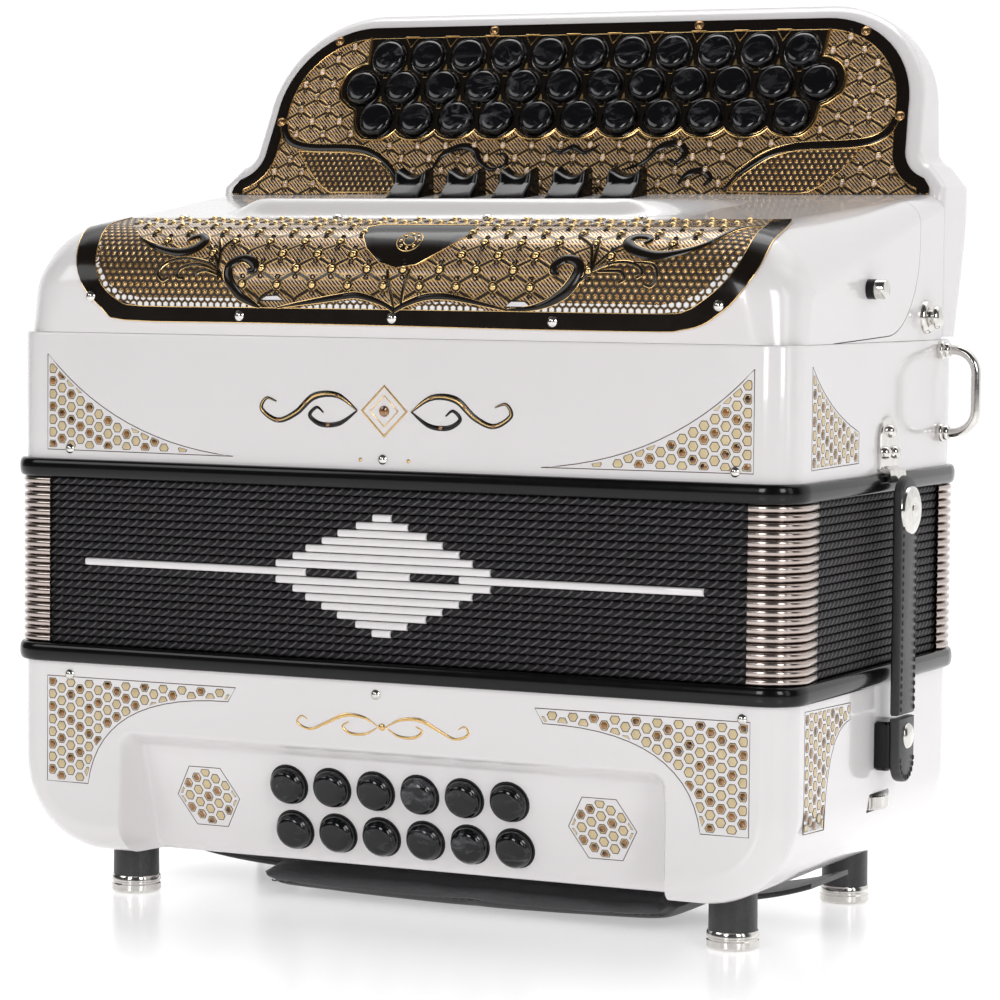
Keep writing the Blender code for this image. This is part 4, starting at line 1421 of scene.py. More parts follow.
def surround_outline():
    """The scalloped panel under the treble buttons, from its left top corner down and round."""
    left = [(-105.6, 75.6), (-105.2, 69.5), (-104.8, 65.4), (-104.9, 63.0)]
    left += arc((-104.5, 51.4), 11.6, 95, 205, 14)
    left += [(-110.0, 42.2), (-107.2, 41.1), (-106.2, 38.6)]
    left += arc((-95.0, 37.6), 11.2, 180, 262, 9)
    scallops = []
    for k in range(11):
        x = -95.0 + PITCH * k
        steps = range(9) if 0 < k < 10 else ((range(4, 9)) if k == 0 else range(0, 5))
        for i in steps:
            t = -1 + i / 4
            scallops.append((x + 9.5 * t, 27.2 + 4.0 * t * t * (0.55 + 0.45 * t * t)))
    right = mirrored(left)[::-1]
    return left[:-2] + scallops + right[2:]


def lattice_spots(across, rise, origin, low, high):
    """Knots of a lattice inside a box, as (x, other)."""
    spots = []
    n = int(max(abs(low[0]), abs(high[0])) / across * 2) + 3
    m = int(max(abs(low[1]), abs(high[1])) / rise) + 3
    for total in range(-n, n + 1):
        for gap in range(-m, m + 1):
            if (total + gap) % 2:
                continue
            x, y = origin[0] + across * total / 2, origin[1] + rise * gap
            if low[0] < x < high[0] and low[1] < y < high[1]:
                spots.append((x, y))
    return spots


LEAF_LEFT = [(-130.0, 22.4), (-120, 21.9), (-107.2, 21.6), (-98, 20.6), (-92.2, 18.9), (-86, 15.8), (-81.5, 12.0), (-77.5, 7.6),
             (-80.5, 3.4), (-95, 3.2), (-110.5, 3.2), (-114.5, 5.6), (-119.1, 9.6), (-124.5, 15.4)]
LEAF_RIGHT = [(72.3, 3.4), (74.0, 7.2), (76.8, 11.2), (81, 15.3), (86.4, 18.4), (93, 20.4), (101.1, 21.4), (113, 21.8), (127.2, 22.2),
              (125, 18.5), (120.4, 13.0), (112.2, 5.8), (107.5, 3.2), (102.4, 2.6)]
BAND_LEFT = [(-139.6, 35.0), (-138.6, 31.4), (-136.0, 28.0), (-131.0, 25.3), (-122, 24.0), (-107, 23.8), (-97.5, 22.6), (-90.5, 19.5),
             (-84.5, 15.0), (-80.5, 10.4), (-77.6, 5.4)]
BAND_RIGHT = [(139.6, 35.6), (138.2, 31.0), (135.2, 27.6), (129.8, 25.2), (120.0, 24.0), (108, 23.6), (98, 22.8), (88.1, 19.8), (80.6, 14.8),
              (74.6, 9.4), (70.6, 4.0)]


def make_plate():
    plate = Shape()
    holes = [circle(spot, 8.1) for spot in TREBLE_HOLES]
    outline = board_outline(-0.2, 2.4)
    plate.patch(outline, on_plate, 0.0, 0, holes, None, 0.9)
    surround = surround_outline()
    plate.patch(surround, on_plate, 0.28, 1, [circle(spot, 8.15) for spot in TREBLE_HOLES], None, 0.32)
    plate.ribbon(board_outline(-2.5, 2.6), 2.55, on_plate, 0.22, 0.12, 1)
    plate.ribbon(board_outline(-5.2, 2.6), 0.16, on_plate, 0.24, 0.2, 2)
    plate.patch(board_outline_cap(), on_plate, 0.2, 1, (), None, 0.25)
    plate.ribbon(surround, 0.42, on_plate, 0.34, 0.42, 2)
    inner = [(x * 0.992, w + (0.9 if w < 60 else 0.0)) for x, w in surround]
    plate.ribbon(inner, 0.16, on_plate, 0.3, 0.18, 2)
    for spot in TREBLE_HOLES:
        plate.ribbon(circle(spot, 8.5, 32), 0.34, on_plate, 0.3, 0.4, 1, True)
    for leaf in (LEAF_LEFT, LEAF_RIGHT):
        plate.patch(leaf, on_plate, 0.14, 3, (), None, 0.2)
        plate.ribbon(leaf + leaf[:1], 0.3, on_plate, 0.16, 0.24, 2)
    for band in (BAND_LEFT, BAND_RIGHT):
        path = smooth_path(band, 4)
        plate.ribbon(path, (1.2, 1.7, 1.7, 1.6, 1.2, 0.5), on_plate, 0.24, 0.3, 1)
        for side in (-1, 1):
            plate.ribbon(offset_path(path, 1.8 * side), 0.22, on_plate, 0.2, 0.22, 2)
    for k in range(10):
        x = -85.5 + PITCH * k
        plate.ribbon([(x - 3.2, 75.4), (x + 3.2, 75.4), (x, 70.4), (x - 3.2, 75.4)], 0.33, on_plate, 0.3, 0.3, 2)
        triangle(plate, (x, 58.9), 1.5, 3.6)
        notch(plate, (x, 43.4))
    for k in range(11):
        x = -95.0 + PITCH * k
        triangle(plate, (x, 44.4), 1.5, 3.6)
        notch(plate, (x, 58.0))
    for path, widths in FLOURISH:
        plate.ribbon(smooth_path(path, 6), widths, on_plate, 0.22, 0.3, 1)
    plate.piece("fingerboard_skin", [PLATE_LATTICE, BORDER, GOLD, LEAF_SCALES], "treble_side", 30, "gold_plate", ["fingerboard_plate"])

    gems = Shape()
    border = board_outline(-6.6, 3.4)
    spots = lattice_spots(13.4, 5.87, (-5.8, 1.0), (-160, 3), (160, 82))
    free = inside(spots, border)
    for zone in (surround, LEAF_LEFT, LEAF_RIGHT):
        grown = grow(zone, 1.5)
        free &= ~inside(spots, grown)
    for spot, good in zip(spots, free):
        if good and all(min(math.hypot(spot[0] - p[0], spot[1] - p[1]) for p in band) > 2.6 for band in (smooth_path(BAND_LEFT), smooth_path(BAND_RIGHT))):
            gems.ribbon(circle(spot, 1.45, 14), 0.26, on_plate, 0.1, 0.4, 1, True)
            gems.dome(spot, 1.2, 0.7, on_plate, 0.1, 0, 8)
            for far in (2.75, -2.75):
                gems.ribbon(circle((spot[0], spot[1] + far), 0.72, 10), 0.24, on_plate, 0.08, 0.3, 2, True)
    for x, w in ((-121.0, 74.2), (-47.1, 77.8), (47.1, 78.2), (121.0, 74.0), (-141.4, 36.1), (141.4, 36.1)):
        gems.dome((x, w), 1.7, 0.8, on_plate, 0.3, 3, 18)
        gems.ribbon(circle((x, w), 1.85, 18), 0.35, on_plate, 0.28, 0.35, 3, True)
        gems.ribbon([(x - 1.1, w - 0.7), (x + 1.1, w + 0.7)], 0.2, on_plate, 1.0, 0.1, 2)
    gems.piece("fingerboard_gems", [CLEAR, GOLD, BORDER, COPPER], "treble_side", 30, "gold_plate")


FLOURISH = (
    (((-64, 13), (-60, 20.5), (-52, 24.0), (-45.5, 22.6), (-42.5, 17.5), (-36, 13.5), (-30, 15.5), (-30.5, 20.0), (-35, 20.5)),
     (0.3, 1.3, 1.7, 1.5, 1.1, 1.0, 0.8, 0.4)),
    (((24, 13), (33, 16.5), (39, 23.0), (46, 24.8), (51, 21.0), (48.0, 16.5), (43.5, 18.0)), (0.3, 1.0, 1.6, 1.6, 1.1, 0.5)),
    (((50, 6.5), (54, 11.5), (60, 12.6), (64, 9.4), (61.5, 6.0)), (0.5, 1.4, 1.5, 1.2, 0.5)),
    (((-12, 24.6), (-6, 21.0), (0, 23.6), (6, 21.0), (12, 24.6)), (0.2, 0.9, 1.3, 0.9, 0.2)),
)


def board_outline_cap():
    """The black head of the plate, between its border and the button panel."""
    return [(-105.8, 75.0), (-100, 72.0), (100, 72.0), (105.8, 75.0), (104.0, 78.0), (-104.0, 78.0)]


def offset_path(path, far):
    made = []
    for i, (x, y) in enumerate(path):
        a, b = path[max(i - 1, 0)], path[min(i + 1, len(path) - 1)]
        size = math.hypot(b[0] - a[0], b[1] - a[1]) or 1.0
        made.append((x - (b[1] - a[1]) / size * far, y + (b[0] - a[0]) / size * far))
    return made


def grow(outline, far):
    """An outline pushed outward from its middle."""
    loop = list(outline)
    side = -1 if signed_area(loop) > 0 else 1
    return offset_path(loop, far * side)


def triangle(shape, spot, half, tall):
    x, w = spot
    corners = [(x - half, w), (x + half, w), (x + half * 0.25, w + tall), (x - half * 0.25, w + tall)]
    low = [on_plate(a, b, 0.2) for a, b in corners]
    top = [on_plate(x + (a - x) * 0.6, w + tall * 0.45 + (b - w - tall * 0.45) * 0.75, 1.0) for a, b in corners]
    shape.loft([low, top], 2, True, (False, True))


def notch(shape, spot):
    x, w = spot
    shape.ribbon([(x - 2.2, w + 1.2), (x + 2.2, w + 1.2)], 0.3, on_plate, 0.3, 0.3, 2)
    shape.ribbon([(x - 1.3, w + 0.9), (x - 0.8, w - 1.6), (x + 0.8, w - 1.6), (x + 1.3, w + 0.9)], 0.2, on_plate, 0.3, 0.25, 2)


GRILLE_OUT = [(-150, 66), (-148, 52), (-143.5, 36), (-140.5, 22), (-137.5, 10), (-132.5, 0.5), (-124, -7.4), (-114, -11.4), (-60, -11.6),
              (0, -11.8), (60, -12.3), (112, -12.3), (120.7, -11.7), (129.3, -9.7), (136.0, -5.5), (142.0, -0.5), (147.0, 7.0), (149.4, 15.5),
              (149.6, 30), (148.0, 44.5), (145.5, 58), (143, 66)]
GRILLE_IN = [(-140.5, 62), (-138, 50), (-134, 35), (-131, 21), (-128.8, 10), (-124.7, 2), (-117.0, -3.8), (-107, -5.8), (-60, -5.8),
             (0, -5.8), (60, -5.8), (112.7, -5.8), (122.7, -4.8), (129.3, -1.2), (136, 4), (140.4, 9.5), (142.8, 16.5), (143.4, 29), (141.5, 44),
             (139, 56), (137, 62)]
HEX_END_LEFT = [(-140, 61), (-138, 50), (-134, 35), (-131, 21), (-128.8, 10), (-124.7, 2), (-117, -3.8), (-107, -5.7), (-57, -5.7),
                (-60.7, -2.8), (-66, 0), (-72, 6.5), (-78, 12), (-87.7, 14.7), (-98.7, 17.2), (-112.7, 23.2), (-119, 30), (-125, 42), (-129, 61)]
HEX_END_RIGHT = [(136.5, 61), (141.5, 44), (143.4, 29), (142.8, 16.5), (140.4, 9.5), (136, 4), (129.3, -1.2), (122.7, -4.7), (112.7, -5.7),
                 (62, -5.7), (66, -2.8), (75.7, 2.3), (83, 8), (91.3, 12.2), (101, 13), (111, 14.5), (125, 19.5), (131, 26), (134, 40), (133, 61)]
OPEN_LEFT = [(-131.4, 20), (-128.9, 10), (-124.8, 2), (-117, -3.8), (-107, -5.7), (-57, -5.7), (-59.5, -4.4), (-65, -2.4), (-85, -2.4),
             (-106.7, -2.6), (-114.7, -1.2), (-121.0, 2.2), (-125.2, 7.0), (-128.0, 13.0), (-129.6, 20)]
OPEN_RIGHT = [(142.8, 16.5), (140.4, 9.5), (136, 4), (129.3, -1.2), (122.7, -4.7), (112.7, -5.7), (60, -5.7), (66, -3.2), (73, -2.5),
              (102.7, -2.6), (113, -2.7), (121, -1.3), (127.8, 1.6), (133.6, 6.2), (138.0, 11.0), (141.2, 16.8)]
LENS_1 = [(-38, -5.7), (-30, -4.7), (-22, -3.5), (-13, -2.5), (-6.5, -3.5), (-2.5, -5.7)]
LENS_2 = [(11, -5.7), (17, -3.2), (25, -2.5), (31.7, -3.3), (40, -4.9), (44, -5.7)]
WINDOWS = ([(-53.5, -3.0), (-51, -1.2), (-46, -1.0), (-43.5, -3.0)], [(50.5, -4.2), (53, -2.0), (58.5, -2.0), (61, -4.2)])
SCROLLS = (
    (((-54, -5.6), (-58.3, -3.6), (-63.6, -0.4), (-68.2, 6.2), (-67.6, 10.8), (-62.8, 13.2), (-58.2, 11.4), (-57.2, 8.8), (-60, 8.0)),
     (0.4, 1.3, 1.9, 2.0, 1.8, 1.6, 2.0, 1.8, 0.9)),
    (((51.3, -5.2), (60.3, -4.6), (67.4, -2.7), (73.8, 0.8), (77.8, 5.0), (79.6, 10.0), (77.6, 13.0), (73.3, 14.0), (70.0, 11.6), (69.4, 9.2),
      (71.4, 8.2)), (0.4, 0.9, 1.4, 2.1, 2.3, 2.1, 1.9, 1.8, 1.9, 1.6, 0.8)),
    (((-113, 23), (-103.3, 17.9), (-93.3, 15.6), (-86.4, 17.2), (-83.2, 21.2), (-85.8, 24.4), (-89.4, 23.2), (-90.6, 21.0)),
     (0.2, 1.3, 1.8, 2.1, 2.2, 1.7, 1.3, 0.7)),
    (((141.4, 40), (131.3, 25.5), (125, 20), (115, 16.6), (106.7, 16.0), (99.0, 18.8), (96.0, 22.4), (98.0, 25.4), (102.3, 25.4),
      (104.6, 23.4), (102.6, 21.6)), (0.2, 0.8, 1.1, 1.6, 2.1, 2.3, 2.2, 1.9, 1.7, 1.3, 0.7)),
    (((-46, -5.7), (-37.7, -4.2), (-30, -3.0), (-22.3, -1.8), (-13, -0.6), (-6.3, -1.7), (0, -3.8), (4, -6.2)),
     (0.3, 0.6, 0.9, 1.1, 1.2, 1.1, 0.9, 0.8)),
    (((4, -6.2), (9, -3.6), (17, -1.0), (25, -0.6), (31.7, -1.4), (42, -3.4), (51, -5.4)), (0.8, 1.0, 1.2, 1.2, 1.0, 0.7, 0.3)),
)
CURLS = (
    ((-71, 5), (-73, 8.5), (-78.7, 11.4), (-88, 13), (-96, 11.5), (-99.7, 7.5), (-97.6, 4.2), (-94.8, 5.2)),
    ((-73, 7.5), (-79, 10), (-86, 10.4), (-90.5, 8.2), (-90.6, 5.4), (-88.4, 5.0)),
    ((-72, 6), (-78, 8.2), (-82, 7.4), (-82.6, 5.2)),
    ((-72.4, 4.5), (-74.4, 12), (-79.7, 19.2)),
    ((-73.2, 8.5), (-74, 16), (-77, 22.5)),
    ((-74, 14), (-73.4, 18), (-70.5, 22.5)),
    ((84, 9), (91.3, 12.2), (98, 13), (103.3, 11.2), (105, 8.5), (103, 7)),
    ((101, 13), (108.3, 12.2), (111, 8.5), (109.3, 4.2), (106.3, 4.7)),
    ((87.3, 9.2), (92, 9.5), (96.3, 9.2), (98.3, 6.7), (96.3, 5.3)),
    ((77, 3), (84, 9), (85, 17.5), (84, 24)),
    ((84, 9), (91, 17.5), (94.5, 20.5)),
    ((84.3, 11), (82, 20), (75, 25.5)),
    ((0.3, 9.2), (2.4, 1.0), (4, -6)),
    ((10, 9.5), (8, 2), (7, -4)),
)
CARTOUCHE = [(-16.5, 31.8), (-15, 24.5), (-11, 18), (-3.7, 11.9), (4, 9.7), (12.3, 11.2), (21, 17), (29.3, 26), (30.5, 31.8), (27, 35.5),
             (-13, 35.5)]


def open_mesh():
    """Pale open cells between thin dark bars."""
    made = Finish("open_cells")
    u, v = made.sheet()
    cell = hex_cells(u, v, 2.9)
    wall = cell.ramp(0.60, 0.76)
    edge = cell.ramp(0.78, 0.92)
    pale = made.mix(made.noise(80.0), (0.72, 0.71, 0.72), (0.86, 0.86, 0.87))
    bar = made.mix(edge, (0.30, 0.19, 0.09), (0.045, 0.03, 0.018))
    made.set("Base Color", made.mix(wall, pale, bar))
    made.set("Metallic", wall * 0.6)
    made.set("Roughness", wall * -0.2 + 0.5)
    made.bump(wall, 0.8, 0.5)
    return made.material


OPEN_CELLS = open_mesh()


def make_grille():
    sheet = Shape()
    sheet.patch(GRILLE_OUT, on_cover, 0.45, 0, (), 5.0, 0.6)
    for zone in (HEX_END_LEFT, HEX_END_RIGHT):
        sheet.patch(zone, on_cover, 0.52, 1, (), 4.0)
    for zone in (OPEN_LEFT, OPEN_RIGHT, LENS_1, LENS_2):
        sheet.patch(zone, on_cover, 0.60, 2, (), 3.0)
    for zone in WINDOWS:
        sheet.patch(zone, on_cover, 0.60, 5, (), 3.0)
        sheet.ribbon(zone, 0.25, on_cover, 0.62, 0.2, 3, True)
    border = smooth_path(GRILLE_OUT, 3) + smooth_path(GRILLE_IN, 3)[::-1]
    sheet.patch(border, on_cover, 0.68, 3, (), 3.5)
    sheet.ribbon(smooth_path(GRILLE_OUT, 3), 0.18, on_cover, 0.62, 0.2, 4)
    sheet.ribbon(smooth_path(GRILLE_IN, 3), 0.14, on_cover, 0.68, 0.14, 4)
    sheet.patch(CARTOUCHE, on_cover, 0.78, 3, (), 3.0, 0.3)
    sheet.ribbon(CARTOUCHE, 0.2, on_cover, 0.78, 0.25, 4, True)
    for radius in (5.2, 2.4):
        sheet.ribbon(circle((6, 22), radius, 30), 0.2, on_cover, 0.78, 0.2, 4, True)
    for k in range(8):
        t = math.pi * k / 4
        sheet.dome((6 + 3.8 * math.cos(t), 22 + 3.8 * math.sin(t)), 0.7, 0.4, on_cover, 0.78, 4, 8)
    for path, widths in SCROLLS:
        smooth = smooth_path(path, 6)
        sheet.ribbon(smooth, [w + 0.2 for w in widths], on_cover, 0.66, 0.15, 4)
        sheet.ribbon(smooth, widths, on_cover, 0.74, 0.45, 3)
    for path in CURLS:
        smooth = smooth_path(path, 6)
        sheet.ribbon(smooth, (0.5, 0.75, 0.8, 0.75, 0.6), on_cover, 0.62, 0.2, 4)
        sheet.ribbon(smooth, (0.35, 0.55, 0.6, 0.55, 0.45), on_cover, 0.70, 0.45, 3)
    sheet.piece("grille_plate", [GRILLE_LATTICE, GRILLE_MESH, OPEN_CELLS, BORDER, GOLD, WHITE], "treble_side", 30, "gold_plate")

    studs = Shape()
    spots = lattice_spots(15.3, 6.2, (-0.7, 3.1), (-150, -6), (150, 62))
    free = inside(spots, GRILLE_IN)
    for zone in (HEX_END_LEFT, HEX_END_RIGHT, CARTOUCHE, LENS_1, LENS_2):
        free &= ~inside(spots, zone)
    lines = [smooth_path(path) for path, _ in SCROLLS]
    for spot, good in zip(spots, free):
        if good and spot[1] > 0 and min(math.hypot(spot[0] - p[0], spot[1] - p[1]) for line in lines for p in line) > 2.8:
            studs.dome(spot, 1.3, 1.1, on_cover, 0.46, 1, 12)
            studs.ribbon(circle(spot, 1.6, 14), 0.34, on_cover, 0.46, 0.35, 0, True)
            studs.ribbon(circle(spot, 2.05, 16), 0.16, on_cover, 0.44, 0.2, 1, True)
            for far in (3.0, -3.0):
                studs.ribbon(circle((spot[0], spot[1] + far), 0.85, 10), 0.27, on_cover, 0.44, 0.35, 0, True)
    for x, s in ((-116, 62), (-47, 63.5), (18.3, 64), (83.8, 63.5), (-129.7, -2.4), (-62.7, -9.0), (3.3, -9.0), (70.0, -9.3), (136.0, -2.6)):
        studs.dome((x, s), 2.0, 1.5, on_cover, 0.6, 2, 18)
    studs.piece("grille_studs", [BORDER, GOLD, NICKEL], "treble_side", 40, "gold_plate")


def riser_height(x, y):
    """Height of the raised bed of the register switches above the deck."""
    front = min(max((y - (FRONT + 59.0)) / 9.0, 0.0), 1.0)
    half = lerp(((FRONT + 58, 92.0), (FRONT + 75, 104.0), (FRONT + 110, 112.0), (FRONT + 157, 113.0)), y)
    near = min(max((half - abs(x + 11.0)) / 20.0, 0.0), 1.0)
    ease = lambda t: t * t * (3 - 2 * t)
    tall = lerp(((FRONT + 59, 7.1), (FRONT + 68, 6.4), (FRONT + 135, 0.75), (FRONT + 157, 0.6)), y)
    return tall * ease(front) * ease(near)


def make_riser():
    shape = Shape()
    xs = list(np.linspace(-125, 103, 77))
    ys = [FRONT + 58.0 + 0.9 * i for i in range(13)] + list(np.linspace(FRONT + 72, FRONT + 157, 18))
    rows = [[(x, y, deck_z(y) - 0.35 + riser_height(x, y) * 1.05) for x in xs] for y in ys]
    low = [[(x, y, deck_z(y) - 3.0) for x in xs] for y in (ys[-1], ys[0])]
    shape.loft(rows + low + [rows[0]], closed=False, caps=(False, False))
    count, total = len(xs), len(rows) + 2
    for i, flip in ((0, False), (count - 1, True)):
        side = [r * count + i for r in range(total)]
        shape.faces.append(tuple(side[::-1] if flip else side))
        shape.slots.append(0)
    riser = shape.piece("register_bed", WHITE, fix=True)
    slots = Shape()
    for _, x in register_places():
        slots.box((x + TAB_SPAN[0] - 0.4, FRONT + 135.0, 270.0), (x + TAB_SPAN[1] + 0.4, FRONT + 152.0, 295.0), 0.2)
    carve(riser, [slots.piece("riser_slots", WHITE)])
    settle(riser, 50)
    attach(riser, "treble_side")


# Inlays: each is bounded by straight sides, as (point, direction pointing in), and one hollow arc


def clip(polygon, point, inward):
    made = []
    for a, b in zip(polygon, polygon[1:] + polygon[:1]):
        da = (a[0] - point[0]) * inward[0] + (a[1] - point[1]) * inward[1]
        db = (b[0] - point[0]) * inward[0] + (b[1] - point[1]) * inward[1]
        if da >= 0:
            made.append(a)
        if (da >= 0) != (db >= 0):
            t = da / (da - db)
            made.append((a[0] + (b[0] - a[0]) * t, a[1] + (b[1] - a[1]) * t))
    return made


def cell_at(shape, place, outline, centre, jewel, radius=2.15):
    """One six-sided inlay, trimmed to the outline of its field."""
    cell = [(centre[0] + radius * math.cos(math.radians(60 * k)), centre[1] + radius * math.sin(math.radians(60 * k))) for k in range(6)]
    full = abs(signed_area(cell))
    loop = list(outline)
    turn = 1 if signed_area(loop) > 0 else -1
    for a, b in zip(loop, loop[1:] + loop[:1]):
        size = math.hypot(b[0] - a[0], b[1] - a[1])
        if size < 1e-6:
            continue
        near = nearest(centre, a, b)
        if near > radius + 1.0:
            continue
        inward = (-(b[1] - a[1]) / size * turn, (b[0] - a[0]) / size * turn)
        cell = clip(cell, (a[0] + inward[0] * 0.85, a[1] + inward[1] * 0.85), inward)
        if len(cell) < 3:
            return
    area = abs(signed_area(cell))
    if area < full * 0.16:
        return
    middle = (sum(p[0] for p in cell) / len(cell), sum(p[1] for p in cell) / len(cell))
    rings = []
    for share, lift in ((1.0, 0.02), (1.0, 0.07), (0.84, 0.09)):
        rings.append([place(middle[0] + (x - middle[0]) * share, middle[1] + (y - middle[1]) * share, lift) for x, y in cell])
    shape.loft(rings, 0, True, (False, False))
    jewel = jewel and area > full * 0.6
    rings = [[place(middle[0] + (x - middle[0]) * share, middle[1] + (y - middle[1]) * share, lift) for x, y in cell]
             for share, lift in ((0.84, 0.09), (0.7, 0.12), (0.62, 0.3), (0.3, 0.42))]
    shape.loft(rings[:2], 1, True, (False, not jewel))
    if jewel:
        shape.loft(rings[1:], 2, True, (False, True))


def nearest(p, a, b):
    dx, dy = b[0] - a[0], b[1] - a[1]
    t = max(0.0, min(1.0, ((p[0] - a[0]) * dx + (p[1] - a[1]) * dy) / (dx * dx + dy * dy)))
    return math.hypot(p[0] - a[0] - dx * t, p[1] - a[1] - dy * t)


def field(shape, outline, place, origin, across=4.25, rise=5.0):
    """Fills an outline with staggered gold cells; about two in five, in a slanting pattern, carry an amber stone."""
    xs = [p[0] for p in outline]
    ys = [p[1] for p in outline]
    first, last = int((min(xs) - origin[0]) / across) - 2, int((max(xs) - origin[0]) / across) + 2
    low, high = int((min(ys) - origin[1]) / rise) - 2, int((max(ys) - origin[1]) / rise) + 2
    for column in range(first, last + 1):
        for row in range(low, high + 1):
            spot = (origin[0] + across * column, origin[1] + rise * (row + 0.5 * (column % 2)))
            if not inside([spot], outline)[0] and min(nearest(spot, a, b) for a, b in zip(outline, outline[1:] + outline[:1])) > 1.0:
                continue
            cell_at(shape, place, outline, spot, (2 * row + column) % 5 < 2)
    shape.ribbon(outline, 0.17, place, 0.03, 0.06, 0, True)


def hollow(start, end, pull, steps=14):
    """A curve from start to end that is drawn towards a third point."""
    made = []
    for i in range(steps + 1):
        t = i / steps
        made.append(tuple((1 - t) ** 2 * a + 2 * t * (1 - t) * p + t * t * b for a, p, b in zip(start, pull, end)))
    return made


def make_inlays():
    treble, bass = Shape(), Shape()
    for side in (-1, 1):
        corner = [(side * 150.0, 178.8), (side * 150.0, 216.4)] + hollow((side * 150.0, 216.4), (side * 65.6, 178.5), (side * 118.0, 182.5))[1:]
        field(treble, corner[::-1] if side < 0 else corner, on_front, (side * 147.6, 180.6))
        arm = [(side * 150.0, 89.2), (side * 64.0, 89.2), (side * 67.4, 83.6)] + hollow((side * 67.4, 83.6), (side * 131.0, 47.3), (side * 126.0, 84.0))[1:]
        arm += [(side * 150.0, 47.3)]
        field(bass, arm[::-1] if side < 0 else arm, on_front, (side * 147.6, 87.0))
        panel = [(side * 85.0 + 14.0 * math.cos(math.radians(60 * k)), 43.6 + 14.0 * math.sin(math.radians(60 * k)) * 0.98) for k in range(6)]
        field(bass, panel, on_bass_panel, (side * 85.0, 43.6))
    for place in (on_right, on_left):
        y0, y1 = FRONT + 18.6, FRONT + 66.4
        corner = [(y0, 179.6), (y1, 180.2), (y1, 191.8)] + hollow((y1, 191.8), (y0, 217.2), (FRONT + 34.0, 201.0))[1:]
        field(treble, corner, place, (y0 + 2.5, 182.2))
        arm = [(y0 - 3.0, 47.4), (y0 + 17.5, 46.6)] + hollow((y0 + 17.5, 46.6), (y1 - 5.0, 84.6), (FRONT + 38.0, 83.0))[1:] + [(y1 - 5.0, 91.0), (y0 - 3.0, 92.2)]
        field(bass, arm, place, (y0 - 0.6, 89.0))
    treble.piece("treble_inlays", [INK, LEAF, AMBER], "treble_side", 30, "gold_plate")
    bass.piece("bass_inlays", [INK, LEAF, AMBER], "bass_side", 30, "gold_plate")


def make_front_ornaments():
    """Studs and pins, and a plain flourish on each casing."""
    treble, bass = Shape(), Shape()
    for x in (-139.5, -0.4, 143.0):
        treble.dome((x, 179.3), 1.9, 1.5, on_front, 0.0, 0, 18)
    for x in (-10.0, 10.5):
        treble.dome((x, 179.0), 0.75, 0.5, on_front, 0.0, 1, 10)
    for x in (-139.5, -2.7, 147.0):
        bass.dome((x, 90.2), 1.9, 1.5, on_front, 0.0, 0, 18)
    middle = 197.5
    diamond = [(-9.5, middle), (0, middle + 9.5), (9.5, middle), (0, middle - 9.5)]
    treble.ribbon(diamond, 0.55, on_front, 0.05, 0.3, 1, True)
    treble.ribbon([(x * 0.62, middle + (z - middle) * 0.62) for x, z in diamond], 0.3, on_front, 0.05, 0.25, 1, True)
    treble.dome((0, middle), 2.1, 0.8, on_front, 0.05, 2, 12)
    for side in (-1, 1):
        path = [(side * a, middle + b) for a, b in ((11.5, 0), (20, 5.5), (30, 5.0), (38, -1.5), (46, -4.5), (53, -0.5), (51, 3.8), (46.5, 2.6))]
        treble.ribbon(smooth_path(path, 8), (0.3, 1.1, 1.4, 1.2, 1.0, 0.9, 0.6, 0.3), on_front, 0.05, 0.35, 3)
        treble.ribbon(smooth_path(path, 8), (0.12, 0.4, 0.5, 0.4, 0.35, 0.3, 0.2, 0.1), on_front, 0.3, 0.3, 1)
        path = [(side * a, middle + b) for a, b in ((11.5, 0), (19, -5.0), (27, -5.6), (32, -2.4), (29.0, 0.8), (26.0, -1.2))]
        treble.ribbon(smooth_path(path, 8), (0.3, 0.9, 1.0, 0.8, 0.6, 0.3), on_front, 0.05, 0.35, 3)
        for a, b in ((20, 5.5), (34, 2.4), (46, -4.5), (24, -5.6)):
            treble.dome((side * a, middle + b), 0.8, 0.6, on_front, 0.3, 2, 8)
    level = 78.0
    for side in (-1, 1):
        path = [(side * a, level + b) for a, b in ((1.5, 0), (8, 3.2), (16, 3.6), (24, 0.2), (31, -2.6), (36.5, -0.6), (35.0, 2.2), (32.2, 1.0))]
        bass.ribbon(smooth_path(path, 8), (0.15, 0.6, 0.8, 0.6, 0.5, 0.5, 0.35, 0.2), on_front, 0.04, 0.25, 1)
        path = [(side * a, level + b) for a, b in ((1.5, 0), (7, -3.0), (13.5, -3.2), (17.0, -0.8), (14.2, 1.2))]
        bass.ribbon(smooth_path(path, 8), (0.15, 0.5, 0.6, 0.5, 0.2), on_front, 0.04, 0.25, 1)
    bass.dome((0.0, level), 1.4, 0.7, on_front, 0.02, 1, 12)
    treble.piece("treble_front_ornament", [NICKEL, GOLD, AMBER, BORDER], "treble_side", 40, "gold_plate")
    bass.piece("bass_front_ornament", [NICKEL, GOLD, AMBER], "bass_side", 40, "gold_plate")


def make_ornaments():
    make_plate()
    make_grille()
    make_riser()
    make_inlays()
    make_front_ornaments()


# ---------------------------------------------------------------- stage


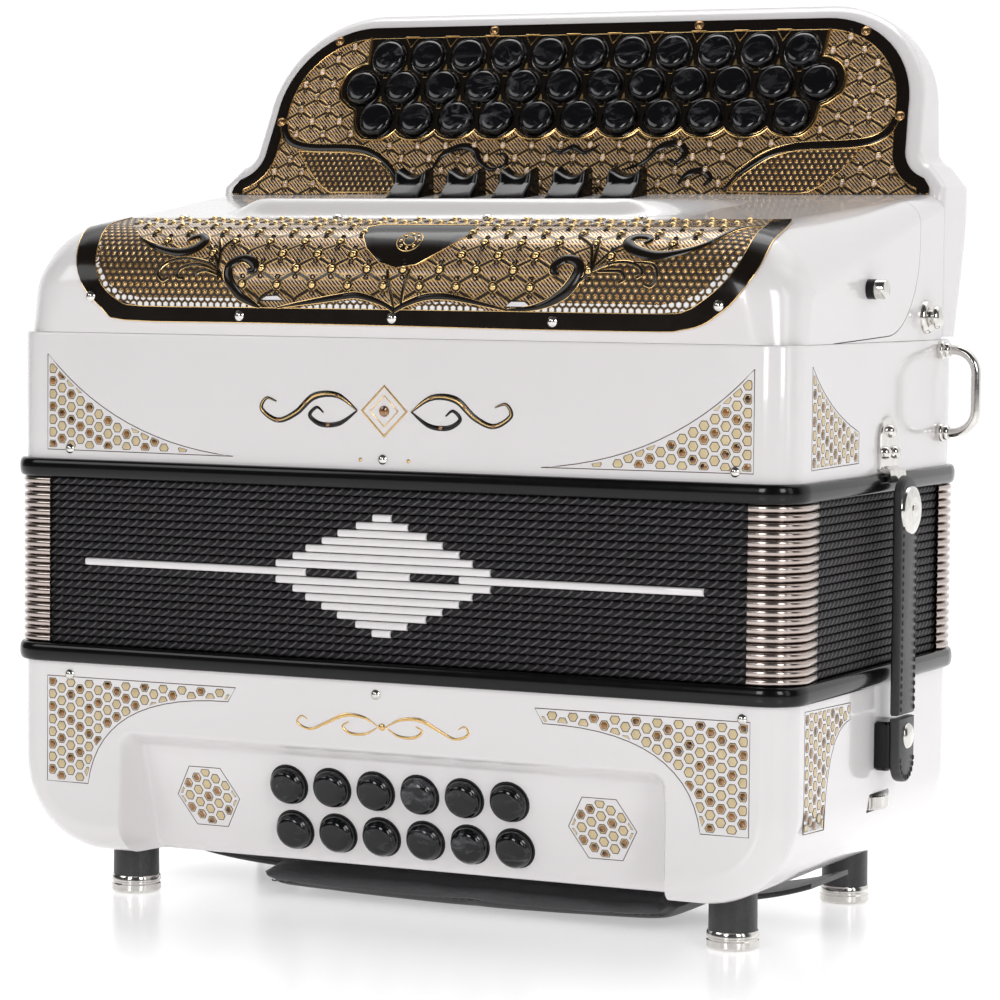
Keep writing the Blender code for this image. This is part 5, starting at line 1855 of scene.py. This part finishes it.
def make_stage():
    floor = Shape()
    floor.add([(-4000, -4000, -0.2), (4000, -4000, -0.2), (4000, 4000, -0.2), (-4000, 4000, -0.2)], [(0, 1, 2, 3)])
    made = Finish("studio_floor", rough=0.22)
    tone = made.noise(2.0, 2.0)
    made.set("Base Color", made.mix(tone, (0.90, 0.90, 0.905), (0.93, 0.93, 0.935)))
    made.set("Roughness", tone * 0.08 + 0.2)
    made.set("Emission Color", (1.0, 1.0, 1.0, 1.0))
    made.set("Emission Strength", 0.4)
    plane = floor.piece("studio_floor", made.material)

    world = bpy.data.worlds.new("studio")
    world.use_nodes = True
    tree = world.node_tree
    tree.nodes["Background"].inputs["Color"].default_value = (1.0, 1.0, 1.0, 1.0)
    parts = tree.nodes.new("ShaderNodeSeparateXYZ")
    tree.links.new(tree.nodes.new("ShaderNodeTexCoord").outputs["Generated"], parts.inputs[0])
    y, z = Wire(tree, parts.outputs[1]), Wire(tree, parts.outputs[2])
    overhead = z.ramp(0.5, 0.8) * y.ramp(-0.15, 0.25)
    behind = y.ramp(0.05, 0.5)
    strength = (behind * 0.95 + 0.07).most(overhead * 1.7)
    seen = Wire(tree, tree.nodes.new("ShaderNodeLightPath").outputs["Is Camera Ray"])
    strength = strength.most(seen * 1.02)
    connect(tree, strength, tree.nodes["Background"].inputs["Strength"])
    bpy.context.scene.world = world


def soft_light(name, spot, aim, size, power):
    data = bpy.data.lights.new(name, "AREA")
    data.shape = "RECTANGLE"
    data.size, data.size_y = size
    data.energy = power
    lamp = bpy.data.objects.new(name, data)
    bpy.context.scene.collection.objects.link(lamp)
    lamp.location = spot
    lamp.rotation_euler = (Vector(aim) - Vector(spot)).to_track_quat("-Z", "Y").to_euler()


def make_camera():
    spot = Vector((0.65338, -1.32541, 0.25333))
    aim = Vector((0.048855, -0.0975, 0.16584))
    data = bpy.data.cameras.new("camera")
    data.lens = 133.17
    data.sensor_width = 36.0
    data.clip_start, data.clip_end = 0.05, 20.0
    camera = bpy.data.objects.new("camera", data)
    bpy.context.scene.collection.objects.link(camera)
    roll = Matrix.Rotation(math.radians(0.515), 3, "Z")
    turn = (aim - spot).to_track_quat("-Z", "Y").to_matrix() @ roll
    camera.matrix_world = Matrix.Translation(spot) @ turn.to_4x4()
    bpy.context.scene.camera = camera


make_bass_casing()
make_bead("bass_bead", BASS_TOP, BELLOWS_LOW, "bass_side")
make_bead("treble_bead", BELLOWS_HIGH, TREBLE_LOW, "treble_side")
make_feet()
make_buttons()
make_wheel()
make_hand_strap()
make_bellows()
make_treble()
make_registers()
make_hardware()
make_ornaments()
make_stage()
soft_light("key_left", (-0.15, -2.1, 0.85), (0, 0, 0.2), (0.45, 0.8), 10.2)
soft_light("key_right", (1.6, -1.35, 0.85), (0, 0, 0.2), (0.45, 0.8), 9.6)
soft_light("fill", (-1.5, -1.6, 1.2), (0, 0, 0.2), (1.0, 0.8), 7.0)
soft_light("top", (-0.2, 0.5, 1.6), (0, 0, 0.2), (1.2, 0.7), 7.0)
soft_light("side", (2.0, -0.7, 0.8), (0.1, 0, 0.2), (0.4, 1.2), 2.5)
make_camera()
bpy.context.scene.view_settings.view_transform = "Standard"
